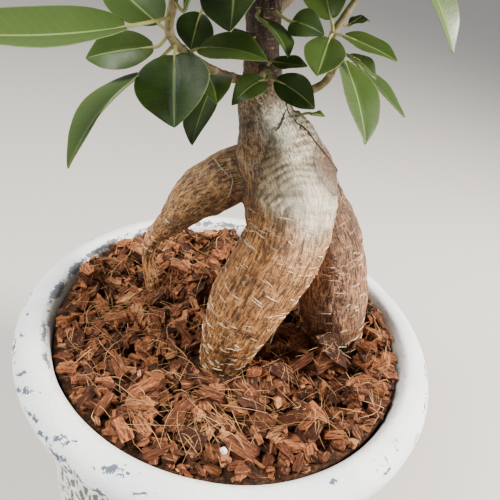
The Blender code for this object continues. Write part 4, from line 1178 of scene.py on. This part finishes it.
# ---------------------------------------------------------------------------------------------
# The branches. Young wood grafted into the top of the trunk: thin, brown below and greenish
# towards the tips, ringed by the scars of old leaves.
# ---------------------------------------------------------------------------------------------
BRANCHES = {
    "branch_left": [
        (-6.5, 0.0, 265.0, 2.2),
        (-13.2, -3.0, 266.7, 2.2),
        (-22.1, -9.0, 269.8, 2.0),
        (-30.9, -17.0, 276.0, 1.9),
        (-36.0, -20.0, 282.0, 1.8),
        (-35.0, -22.0, 291.8, 1.7),
        (-35.4, -21.0, 302.0, 1.5),
        (-39.0, -18.0, 313.0, 1.3),
    ],
    "branch_right": [
        (-3.0, 1.0, 263.5, 2.0),
        (6.5, -1.5, 265.8, 2.0),
        (14.0, -4.0, 269.3, 1.8),
        (17.7, -5.0, 274.9, 1.7),
        (16.2, -6.0, 281.5, 1.6),
        (15.1, -8.0, 288.5, 1.5),
        (19.5, -4.5, 298.3, 1.4),
        (23.5, -2.5, 309.0, 1.2),
    ],
    "branch_front_spur": [
        (-5.6, -1.0, 270.0, 1.6),
        (-4.8, -7.5, 271.5, 1.5),
        (-3.6, -12.0, 273.5, 1.3),
    ],
    "branch_leader": [
        (-11.6, 4.6, 302.6, 2.5),
        (-12.0, 5.4, 311.0, 2.5),
        (-9.5, 5.6, 322.0, 2.1),
        (-6.0, 4.0, 332.0, 1.7),
        (-4.0, 2.0, 341.0, 1.3),
    ],
    "branch_back_left": [
        (-10.8, 5.8, 296.0, 2.3),
        (-17.0, 13.0, 302.5, 2.3),
        (-29.0, 28.0, 310.0, 2.0),
        (-40.0, 42.0, 319.0, 1.7),
        (-46.0, 51.0, 329.0, 1.3),
    ],
    "branch_back_right": [
        (-6.8, 5.0, 288.0, 2.3),
        (0.0, 14.0, 295.5, 2.3),
        (14.0, 29.0, 308.0, 2.0),
        (28.0, 42.0, 320.0, 1.7),
        (36.0, 50.0, 331.0, 1.3),
    ],
    "branch_front": [
        (-9.4, 0.4, 298.0, 2.1),
        (-7.5, -9.0, 308.0, 2.2),
        (-3.0, -27.0, 322.0, 1.9),
        (1.0, -45.0, 330.0, 1.6),
        (3.0, -57.0, 336.0, 1.3),
    ],
    "branch_high_right": [
        (-7.2, 4.2, 300.6, 2.1),
        (3.0, 5.5, 311.5, 2.2),
        (22.0, 6.5, 324.0, 1.9),
        (42.0, 3.0, 333.0, 1.6),
        (55.0, 0.0, 341.0, 1.3),
    ],
    "branch_high_left": [
        (-12.2, 3.0, 290.6, 2.2),
        (-21.0, 3.4, 303.0, 2.2),
        (-39.0, 2.0, 317.0, 1.9),
        (-55.0, -5.0, 326.0, 1.6),
        (-65.0, -9.0, 334.0, 1.3),
    ],
}

# The two low branches are a little slimmer than the solids that they stand for.
LOW_BRANCHES = ("branch_left", "branch_right")
LOW_BRANCH_GIRTH = 0.8
young = Finish("young_twig_bark", 0.6, Specular_IOR_Level=0.35)
twig_lines = young.place((1.0, 1.0, 0.1), young.noted("own_place", "Vector"))
twig_grain = young.noise(twig_lines, 1400.0, 3.0)
twig_colour = young.mix(young.noted("youth"), (0.15, 0.088, 0.045), (0.24, 0.20, 0.075))
twig_colour = young.mix(young.span(twig_grain, 0.35, 0.65, 0.6, 0.0), twig_colour, (0.07, 0.045, 0.025))
twig_colour = young.mix(young.noted("scar"), twig_colour, (0.33, 0.27, 0.17))
twig_specks = young.span(young.noise(young.place(), 1700.0, 2.0), 0.62, 0.7, 0.0, 0.6)
twig_colour = young.mix(twig_specks, twig_colour, (0.42, 0.36, 0.26))
young_bark = young.finish(twig_colour, young.bump(twig_grain, 0.5, 0.0004))


def twig_tube(rows, steps, sides, seed):
    """A twig along its rows: a tube with a raised ring at every leaf scar and a rounded
    end. Gives its points, faces, own place, youth and scars."""
    path = smooth_path(rows, steps)
    length = run_length(path)
    scar = np.exp(-(((length % 7.5) - 3.7) / 0.55) ** 2)
    path[:, 3] *= 1.0 + 0.16 * scar + 0.05 * np.sin(length * 1.9 + seed)
    end = np.clip((length[-1] - length) / 1.2, 0.0, 1.0)
    path[:, 3] *= 0.25 + 0.75 * np.sqrt(end)
    points, sides_faces, caps = tube(path, sides)
    own, _ = limb_coordinates(path, points)
    youth = np.repeat(ramp_up(length / length[-1], 0.02, 0.5), sides)
    return points, sides_faces, caps, own, youth, np.repeat(scar * 0.7, sides)


for seed, (name, rows) in enumerate(BRANCHES.items()):
    girth = LOW_BRANCH_GIRTH if name in LOW_BRANCHES else 1.0
    wood_rows = np.array(rows) * (1.0, 1.0, 1.0, girth)
    points, sides_faces, caps, own, youth, scar = twig_tube(wood_rows, 12, 20, seed)
    branch_mesh = shape_mesh(name + "_wood", points, sides_faces, caps)
    note(branch_mesh, "own_place", own * MM)
    note(branch_mesh, "youth", youth)
    note(branch_mesh, "scar", scar)
    add_piece(name + "_wood", branch_mesh, [young_bark], [name])

# ---------------------------------------------------------------------------------------------
# The low leaves. Leathery, glossy blades folded a little along a pale midrib, on short stalks;
# each grows from a branch or from the stem itself.
# ---------------------------------------------------------------------------------------------
PETIOLE_CLEARANCE = 0.8
LEAF_FOLD = math.radians(14.0)
UP = (0.0, -0.15, 1.0)
LOW_LEAVES = {
    "leaf_left_front": ("branch_left", (-33, -24, 277), (-28, -41, 260), 24, 0.5, (-0.2, -0.7, 0.6)),
    "leaf_left_hanging": ("branch_left", (-43, -22, 269), (-58, -50, 244), 22, 3, (-0.6, -0.2, 0.7)),
    "leaf_left_round": ("branch_left", (-40, -21, 277), (-63, -20, 269), 12, 2, (-0.2, -0.9, 0.4)),
    "leaf_left_long": ("branch_left", (-43, -39, 286), (-87, -62, 281), 25, -2, (0.0, -0.2, 1.0)),
    "leaf_left_rising": ("branch_left", (-40, -17, 283), (-65, 5, 291), 18, -1, (-0.2, -0.5, 0.8)),
    "leaf_left_back": ("branch_high_left", (-29, -6, 287), (-31, -8, 275), 13, 1, (0.0, -0.8, 0.5)),
    "leaf_left_bract": ("branch_left", (-31, -25, 290), (-23, -31, 303), 12, 1, (-0.5, -0.5, 0.7)),
    "leaf_high_dark": ("branch_high_left", (-21, -7, 306), (-15, -41, 290), 20, -2, (-0.4, -0.4, 0.8)),
    "leaf_left_level": ("branch_left", (-27, -17, 278), (-4, -27, 281), 13, 2, (-0.3, -0.4, 0.8)),
    "leaf_left_glossy": ("branch_left", (-24, -14, 269), (-17, -33, 267), 13, 2, UP),
    "leaf_left_low": ("branch_left", (-22, -3, 265), (-24, -29, 250), 14, 1, (-0.5, -0.3, 0.8)),
    "leaf_trunk_left": ("branch_front_spur", (-4, -16, 272), (-13, -26, 265), 9, 3, (0.0, -0.7, 0.7)),
    "leaf_trunk_right": ("branch_front_spur", (-1, -17, 273), (14, -20, 267), 10.5, 3, (0.1, -0.8, 0.5)),
    "leaf_stem_left": ("trunk", (-10, -8, 289), (2, -22, 282), 12.5, 1.5, (0.4, -0.1, 0.9)),
    "leaf_stem_right": ("trunk", (1, -4, 289), (12, -15, 289), 10, 2, (-0.6, -0.5, 0.5)),
    "leaf_stem_front": ("trunk", (-3, -7, 276), (9, -12, 278), 7, 0, (-0.3, -0.4, 0.8)),
    "leaf_stem_folded": ("trunk", (-12, -6, 283), (-15, -22, 281), 9, 2, UP),
    "leaf_right_rising": ("branch_right", (13.5, -10, 292.5), (5, 11, 307), 16, 2, (-0.3, -0.6, 0.8)),
    "leaf_right_bud": ("branch_right", (20, -2, 291), (27, 1, 293), 6, 1, UP),
    "leaf_right_front": ("branch_right", (14, -12, 288), (11, -37, 282), 13, -1, (0.0, -0.2, 1.0)),
    "leaf_right_out": ("branch_right", (18, -10, 289), (36, -18, 286), 10.5, 0.5, (0.0, -0.3, 0.9)),
    "leaf_right_small": ("branch_right", (22, -3, 282), (33, -8, 277), 9, 1, UP),
    "leaf_right_hanging": ("branch_right", (20, -10, 282), (30, -38, 265), 17, 1.5, (0.5, -0.4, 0.8)),
    "leaf_right_curled": ("branch_right", (27, 5, 278), (47, -7, 266), 12, 0, (0.4, -0.1, 0.9)),
    "leaf_high_right": ("branch_high_right", (36, 8, 314), (56, -4, 289), 16, 1.5, (0.5, -0.5, 0.7)),
    "leaf_trunk_sprout": ("front_root", (14, -7, 261), (19, -10, 262), 4, 0, UP),
}
# How yellow-green and light each leaf is, from 0 for the oldest and darkest to 1 for the youngest;
# the others are as GROWN_LEAF says.
LEAF_YOUTH = {
    "leaf_left_front": 0.12,
    "leaf_left_back": 0.05,
    "leaf_stem_left": 0.2,
    "leaf_stem_right": 0.35,
    "leaf_left_hanging": 0.45,
    "leaf_left_round": 0.35,
    "leaf_left_long": 0.45,
    "leaf_left_rising": 0.4,
    "leaf_left_bract": 0.7,
    "leaf_high_dark": 0.1,
    "leaf_left_level": 0.5,
    "leaf_trunk_left": 0.3,
    "leaf_trunk_right": 0.12,
    "leaf_right_rising": 0.7,
    "leaf_right_hanging": 0.36,
    "leaf_high_right": 0.7,
    "leaf_trunk_sprout": 1.0,
}
GROWN_LEAF = 0.3
BLADE_THICKNESS = 0.5
LEAF_ROWS = 36
LEAF_COLUMNS = 15
CROWN_LEAF_ROWS, CROWN_LEAF_COLUMNS = 18, 9
# Side veins from foot to tip on each half, and how far they slant forward towards the edge.
VEIN_COUNT = 17.0
VEIN_SLANT = 1.6


def blade_width(share):
    """The outline of a blade: wider past its middle, then drawn in to a short point."""
    swell = np.sin(math.pi * np.asarray(share) ** 0.85) ** 0.68
    return swell * (1.0 - 0.25 * np.maximum(np.asarray(share) - 0.75, 0.0) / 0.25)


def blade_frame(leaf):
    """The blade's length direction, its side direction and the direction that it faces."""
    along = unit(np.subtract(leaf["tip"], leaf["foot"]))
    side = unit(np.cross(along, leaf["facing"]))
    return along, side, np.cross(side, along)


def blade_points(leaf, share, across):
    """Points of a blade: share runs from foot to tip and across from -1 to 1. The midrib is a
    straight line raised by a parabola, and both halves fold up from it."""
    along, side, face = blade_frame(leaf)
    share, across = np.broadcast_arrays(share, across)
    half = 0.5 * leaf["width"] * blade_width(share)
    length = np.linalg.norm(np.subtract(leaf["tip"], leaf["foot"]))
    lift = leaf["arch"] * 4.0 * share * (1.0 - share) + np.abs(across) * half * math.tan(LEAF_FOLD)
    spread = share * length, across * half, lift
    ways = (along, side, face)
    return np.array(leaf["foot"]) + sum(part[..., None] * way for part, way in zip(spread, ways))


def leaf_surface(leaf, rows, columns, seed):
    """A blade as a flat closed sleeve: its upper side from edge to edge, then its underside back.
    The midrib is sunk above and raised below, the side veins are faint ridges, and the edge waves."""
    share = np.sin(np.linspace(0.03, 1.0, rows) * math.pi / 2) ** 1.2
    share = np.clip(share, 0.004, 0.9985)[:, None]
    across = np.sin(np.linspace(-1.0, 1.0, columns) * math.pi / 2)[None, :]
    _, side, face = blade_frame(leaf)
    middle = blade_points(leaf, share, across)
    half = 0.5 * leaf["width"] * blade_width(share)
    off = np.abs(across) * half
    rib = np.exp(-((off / 0.55) ** 2)) * (1.0 - share) ** 0.5
    veins = np.cos((share * VEIN_COUNT - np.abs(across) * VEIN_SLANT) * math.tau)
    veins = veins * np.clip(off / 3.0, 0.0, 1.0)
    wave = 0.45 * across**2 * np.sin(share * 8.0 + seed) * np.sin(share * math.pi)
    plump = 0.5 * BLADE_THICKNESS * (1.0 - 0.75 * across**4) * np.ones_like(share)
    above = middle + face * (wave + plump - 0.22 * rib + 0.014 * veins)[..., None]
    below = middle + face * (wave - plump - 0.55 * rib + 0.05 * veins)[..., None]
    points = np.concatenate([above, below[:, ::-1]], axis=1)
    around = 2 * columns
    last = (rows - 1) * around
    caps = np.array([np.arange(around)[::-1], np.arange(around) + last])
    flat_across = np.concatenate([across, across[:, ::-1]], axis=1) * np.ones_like(share)
    place = np.stack([flat_across, share * np.ones(around), np.zeros((rows, around))], axis=-1)
    underside = np.tile(np.arange(around) >= columns, rows)
    return points.reshape(-1, 3), grid_quads(rows, around), caps, place.reshape(-1, 3), underside


def stalk_tube(start, foot, along, radius):
    """A leaf's stalk: from inside the wood to just past the blade's foot, bending into its line."""
    start, foot = np.array(start, dtype=float), np.array(foot, dtype=float)
    reach = np.linalg.norm(foot - start)
    t = np.linspace(0.0, 1.0, 9)[:, None]
    bend = foot - along * reach * 0.3
    line = start * (1 - t) ** 2 + 2 * bend * t * (1 - t) + foot * t**2
    line = np.vstack([line, foot + along * 2.4, foot + along * 5.0])
    thick = radius * np.array([1.35, 1.1, 1.0, 1.0, 1.0, 1.0, 1.0, 1.0, 1.0, 0.72, 0.35])
    return tube(np.column_stack([line, thick]), 8)


def leaf_with_stalk(leaf, rows, columns, seed, stalk_radius=0.55):
    """A leaf's blade and stalk, and what its finish reads at each point."""
    blade = leaf_surface(leaf, rows, columns, seed)
    along, _, _ = blade_frame(leaf)
    length = np.linalg.norm(np.subtract(leaf["tip"], leaf["foot"]))
    slope = unit(along + blade_frame(leaf)[2] * 4.0 * leaf["arch"] / length)
    stalk = stalk_tube(leaf["start"], leaf["foot"], slope, stalk_radius)
    stalk_place = np.tile((0.0, 0.0, 1.0), (len(stalk[0]), 1))
    place = np.concatenate([blade[3], stalk_place])
    underside = np.concatenate([blade[4], np.zeros(len(stalk[0]))])
    return [blade[:3], stalk], place, underside


def stalk_start(path, foot):
    """Where a leaf's stalk leaves a branch: beside its nearest point, on the side of the foot."""
    foot = np.array(foot, dtype=float)
    nearest = path[np.argmin(np.linalg.norm(path[:, :3] - foot, axis=1))]
    away = unit(foot - nearest[:3])
    return nearest[:3] + away * (nearest[3] + PETIOLE_CLEARANCE)


def leathery(name, cloud_green):
    """A waxed green upper side, paler and duller underneath, with a pale midrib, faint side veins
    and a yellow-green stalk."""
    skin = Finish(name, 0.38, Specular_IOR_Level=0.18)
    place = skin.noted("leaf_place", "Vector")
    parts = skin.tree.nodes.new("ShaderNodeSeparateXYZ")
    skin.feed(parts.inputs[0], place)
    across, share, stalk = parts.outputs
    off = skin.sum("ABSOLUTE", across)
    youth = skin.noted("youth")
    cloud = skin.noise(skin.place(), 130.0, 3.0)
    colour = skin.mix(youth, (0.008, 0.018, 0.002), (0.092, 0.142, 0.029))
    colour = skin.mix(skin.span(cloud, 0.35, 0.7, 0.0, 0.4), colour, cloud_green)
    slant = skin.sum("MULTIPLY", off, VEIN_SLANT)
    vein_run = skin.sum("SUBTRACT", skin.sum("MULTIPLY", share, VEIN_COUNT), slant)
    veins = skin.sum("COSINE", skin.sum("MULTIPLY", vein_run, math.tau))
    vein_share = skin.span(veins, 0.90, 1.0, 0.0, 0.045)
    colour = skin.mix(vein_share, colour, (0.20, 0.31, 0.09))
    midrib = skin.span(off, 0.055, 0.02)
    colour = skin.mix(skin.sum("MULTIPLY", midrib, 0.55), colour, (0.24, 0.33, 0.10))
    edge = skin.span(off, 0.955, 0.99)
    colour = skin.mix(skin.sum("MULTIPLY", edge, 0.3), colour, (0.30, 0.36, 0.15))
    under = skin.noted("underside")
    under_colour = skin.mix(midrib, (0.135, 0.20, 0.065), (0.34, 0.42, 0.17))
    under_colour = skin.mix(vein_share, under_colour, (0.30, 0.38, 0.15))
    colour = skin.mix(under, colour, under_colour)
    colour = skin.mix(stalk, colour, (0.27, 0.26, 0.09))
    fine = skin.noise(skin.place(), 1500.0, 2.0)
    height = skin.sum("ADD", skin.sum("MULTIPLY", cloud, 1.2), skin.sum("MULTIPLY", fine, 0.25))
    gloss = skin.sum("ADD", skin.sum("MULTIPLY", under, 0.25), skin.span(cloud, 0.3, 0.7, 0.33, 0.48))
    return skin.finish(colour, skin.bump(height, 0.25, 0.0006), gloss)


leaf_skin = leathery("waxed_ficus_leaf", (0.034, 0.074, 0.012))
hosts = {name: smooth_path(rows, 2) for name, rows in BRANCHES.items()}
hosts["trunk"] = smooth_path(TRUNK_AND_CORE, 1)
hosts["front_root"] = smooth_path(FRONT_ROOT, 1)


def leaf_mesh(name, leaves, youths, extra=()):
    """One mesh of several leaves with their stalks, after any other shapes given."""
    shapes = list(extra)
    first = sum(len(part[0]) for part in shapes)
    places, unders, ages = [np.zeros((first, 3))], [np.zeros(first)], [np.zeros(first)]
    for seed, (leaf, youth) in enumerate(zip(leaves, youths)):
        rows, columns = (CROWN_LEAF_ROWS, CROWN_LEAF_COLUMNS) if extra else (LEAF_ROWS, LEAF_COLUMNS)
        parts, place, under = leaf_with_stalk(leaf, rows, columns, seed + len(name))
        shapes.extend(parts)
        places.append(place)
        unders.append(under)
        ages.append(np.full(len(under), youth))
    mesh = joined(name, shapes)
    note(mesh, "leaf_place", np.concatenate(places))
    note(mesh, "underside", np.concatenate(unders))
    note(mesh, "youth", np.concatenate(ages))
    return mesh


low_leaves = []
for name, (host, foot, tip, width, arch, facing_way) in LOW_LEAVES.items():
    start = stalk_start(hosts[host], foot)
    leaf = dict(start=start, foot=foot, tip=tip, width=width, arch=arch, facing=facing_way)
    low_leaves.append(leaf)
    inner = dict(leaf, start=start - unit(np.subtract(foot, start)) * 2.0)
    mesh = leaf_mesh(name + "_blade", [inner], [LEAF_YOUTH.get(name, GROWN_LEAF)])
    add_piece(name + "_blade", mesh, [leaf_skin], [name])

# ---------------------------------------------------------------------------------------------
# The crown. Leafy shoots on the upper branches: each a thin twig with up to seven leaves set
# round it by the golden angle, kept clear of one another.
# ---------------------------------------------------------------------------------------------
CROWN_SHOOTS = [
    ("branch_leader", 0.55, (0.5, 0.5, 0.5)),
    ("branch_leader", 0.75, (-0.6, 0.1, 0.5)),
    ("branch_leader", 1.00, (0.1, -0.1, 1.0)),
    ("branch_back_left", 0.55, (-0.8, 0.0, 0.5)),
    ("branch_back_left", 0.80, (0.3, 0.4, 0.7)),
    ("branch_back_left", 1.00, (-0.5, 0.6, 0.4)),
    ("branch_back_right", 0.60, (0.8, -0.1, 0.4)),
    ("branch_back_right", 0.80, (-0.3, 0.6, 0.6)),
    ("branch_back_right", 1.00, (0.6, 0.5, 0.5)),
    ("branch_front", 0.60, (-0.6, -0.3, 0.7)),
    ("branch_front", 1.00, (0.0, -0.7, 0.7)),
    ("branch_high_right", 0.60, (0.1, -0.7, 0.6)),
    ("branch_high_right", 1.00, (0.8, -0.2, 0.6)),
    ("branch_high_left", 0.60, (0.0, 0.4, 0.8)),
    ("branch_high_left", 1.00, (-0.8, -0.3, 0.5)),
    ("branch_left", 1.00, (-0.1, -0.5, 0.8)),
    ("branch_right", 1.00, (0.3, -0.6, 0.8)),
]
SHOOT_LENGTH = 25.0
SHOOT_RADIUS = 1.1
LEAVES_PER_SHOOT = 7
CROWN_LEAF_LENGTH = 34.0
CROWN_LEAF_WIDTH = 17.0
LEAF_SPACING = 4.6
CROWN_REACH = 96.0
CROWN_TOP = 377.0
CROWN_FLOOR_AT_AXIS = 300.0
CROWN_FLOOR_SLOPE_X = 0.18
CROWN_FLOOR_SLOPE_Y = -0.13
GOLDEN_ANGLE = math.radians(137.5)


def blade_samples(leaf):
    """Points spread over a blade, by which leaves are kept apart."""
    share, across = np.linspace(0.0, 1.0, 9)[:, None], np.linspace(-1.0, 1.0, 5)[None]
    return blade_points(leaf, share, across).reshape(-1, 3)


def nearest_distance(points, others):
    """The least distance between two sets of points."""
    return np.min(np.linalg.norm(points[:, None, :] - others[None, :, :], axis=2))


def inside_crown(points):
    """Whether the points are over the crown's slanted underside, under its top and in its reach."""
    floor = CROWN_FLOOR_AT_AXIS + CROWN_FLOOR_SLOPE_X * points[:, 0] + CROWN_FLOOR_SLOPE_Y * points[:, 1]
    reach = np.max(np.abs(points[:, :2]))
    return np.all(points[:, 2] > floor) and np.max(points[:, 2]) < CROWN_TOP and reach < CROWN_REACH


def shoot_leaf(twig, order, turn, size):
    """A leaf of a shoot, set round the twig by the golden angle and leaning out from it."""
    share = 0.25 + 0.75 * order / (LEAVES_PER_SHOOT - 1)
    at = twig[0, :3] + (twig[-1, :3] - twig[0, :3]) * share
    along = unit(twig[-1, :3] - twig[0, :3])
    side = unit(np.cross(along, (0.31, 0.17, 0.94)))
    other = np.cross(along, side)
    angle = order * GOLDEN_ANGLE + turn
    out = side * math.cos(angle) + other * math.sin(angle)
    lean = 0.25 + 0.55 * share
    reach = unit(out + along * lean - np.array((0.0, 0.0, 0.18)))
    foot = at + reach * 7.0
    tip = foot + reach * CROWN_LEAF_LENGTH * size - np.array((0.0, 0.0, 4.0))
    facing_way = unit(along * 0.8 + np.array((0.0, 0.0, 1.0)))
    return dict(start=at, foot=foot, tip=tip, width=CROWN_LEAF_WIDTH * size, arch=3.0, facing=facing_way)


def shoot_twig(path, share, direction):
    """The straight twig of a shoot, from beside its branch to its end."""
    index = int(round(share * (len(path) - 1)))
    at = path[index]
    direction = unit(direction)
    away = direction
    if index < len(path) - 1:
        axis = unit(path[index + 1, :3] - path[index - 1, :3])
        away = unit(direction - axis * np.dot(direction, axis))
    start = at[:3] + away * (at[3] + SHOOT_RADIUS + PETIOLE_CLEARANCE)
    end = start + direction * SHOOT_LENGTH
    twig = np.array([[*start, SHOOT_RADIUS], [*(start + end) / 2, 0.9], [*end, 0.7]])
    return twig, at[:3]


def grown_shoot(twig, index, others):
    """The leaves of one shoot. A leaf that would come near another shoot turns round its twig or
    shrinks until it fits, and is left out if it never does."""
    own = []
    for order in range(LEAVES_PER_SHOOT):
        for attempt in range(24):
            leaf = shoot_leaf(twig, order, index * 1.1 + attempt * 0.7, 1.0 - 0.03 * (attempt // 4))
            points = blade_samples(leaf)
            clear = nearest_distance(points, others) > LEAF_SPACING
            clear = clear and all(nearest_distance(points, p) > 3.0 for _, p in own)
            if clear and inside_crown(points):
                own.append((leaf, points))
                break
    return own


starts = [shoot_twig(hosts[host], share, direction) for host, share, direction in CROWN_SHOOTS]
wood_lines = np.vstack([smooth_path(rows, 10)[:, :3] for rows in BRANCHES.values()])
placed = [blade_samples(leaf) for leaf in low_leaves]
for index, (twig, joint) in enumerate(starts):
    other_twigs = [smooth_path(other, 5)[:, :3] for other, _ in starts if other is not twig]
    own = grown_shoot(twig, index, np.vstack([wood_lines, *placed, *other_twigs]))
    placed.extend(points for _, points in own)
    rows = np.vstack([[*joint, SHOOT_RADIUS * 0.8], twig])
    points, sides_faces, caps, along_wood, youth, scar = twig_tube(rows, 8, 12, index)
    ages = [0.25 + 0.5 * order / LEAVES_PER_SHOOT for order in range(len(own))]
    name = f"crown_shoot_{index + 1:02d}"
    mesh = leaf_mesh(name + "_leaves", [leaf for leaf, _ in own], ages, [(points, sides_faces, caps)])
    padding = len(mesh.vertices) - len(points)
    note(mesh, "own_place", np.vstack([along_wood * MM, np.zeros((padding, 3))]))
    note(mesh, "scar", np.concatenate([scar, np.zeros(padding)]))
    piece = add_piece(name + "_leaves", mesh, [leaf_skin, young_bark], [name])
    on_twig = np.empty(len(mesh.loops), dtype=np.int32)
    mesh.loops.foreach_get("vertex_index", on_twig)
    first_loop = np.empty(len(mesh.polygons), dtype=np.int32)
    mesh.polygons.foreach_get("loop_start", first_loop)
    mesh.polygons.foreach_set("material_index", (on_twig[first_loop] < len(points)).astype(np.int32))

# ---------------------------------------------------------------------------------------------
# A pale floor, soft studio light and the camera.
# ---------------------------------------------------------------------------------------------
FLOOR_REACH = 6.0
floor_mesh = bpy.data.meshes.new("floor")
floor_mesh.from_pydata(
    [(sx * FLOOR_REACH, sy * FLOOR_REACH, -0.0005) for sx, sy in ((-1, -1), (1, -1), (1, 1), (-1, 1))],
    [],
    [(0, 1, 2, 3)],
)
floor_finish = Finish("pale_floor", 0.7)
floor_paint = floor_finish.finish(
    floor_finish.mix(floor_finish.noise(floor_finish.place(), 3.0), (0.56, 0.52, 0.47), (0.60, 0.56, 0.51))
)
floor_mesh.materials.append(floor_paint)
floor = bpy.data.objects.new("floor", floor_mesh)
bpy.context.scene.collection.objects.link(floor)
floor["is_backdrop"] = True


def soft_light(name, size, power, place, target, colour):
    """A square studio light at a place, turned towards a target."""
    light = bpy.data.lights.new(name, "AREA")
    light.size = size
    light.energy = power
    light.color = colour
    lamp = bpy.data.objects.new(name, light)
    lamp.location = place
    lamp.rotation_euler = (Vector(target) - Vector(place)).to_track_quat("-Z", "Y").to_euler()
    bpy.context.scene.collection.objects.link(lamp)


soft_light("lamp_at_the_right", 0.26, 32.5, (0.78, -0.02, 0.66), (0.0, 0.0, 0.16), (1.0, 0.96, 0.90))
soft_light("window_at_the_left", 0.45, 25.0, (-0.60, -0.30, 1.00), (0.0, 0.0, 0.2), (1.0, 0.99, 0.97))
world = bpy.data.worlds.new("studio")
world.use_nodes = True
world.node_tree.nodes["Background"].inputs["Color"].default_value = (0.92, 0.96, 1.0, 1.0)
world.node_tree.nodes["Background"].inputs["Strength"].default_value = 0.5
bpy.context.scene.world = world

CAMERA_PLACE = (0.0, -0.1849, 0.3197)
CAMERA_PITCH, CAMERA_YAW, CAMERA_ROLL = (math.radians(a) for a in (34.5, 0.7, 11.2))
camera = bpy.data.cameras.new("camera")
camera.lens = 36.0
camera.sensor_width = 36.0
camera.clip_start = 0.005
viewer = bpy.data.objects.new("camera", camera)
viewer.matrix_world = (
    Matrix.Translation(CAMERA_PLACE)
    @ Matrix.Rotation(-CAMERA_YAW, 4, "Z")
    @ Matrix.Rotation(math.pi / 2 - CAMERA_PITCH, 4, "X")
    @ Matrix.Rotation(CAMERA_ROLL, 4, "Z")
)
bpy.context.scene.collection.objects.link(viewer)
bpy.context.scene.camera = viewer

low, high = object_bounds()
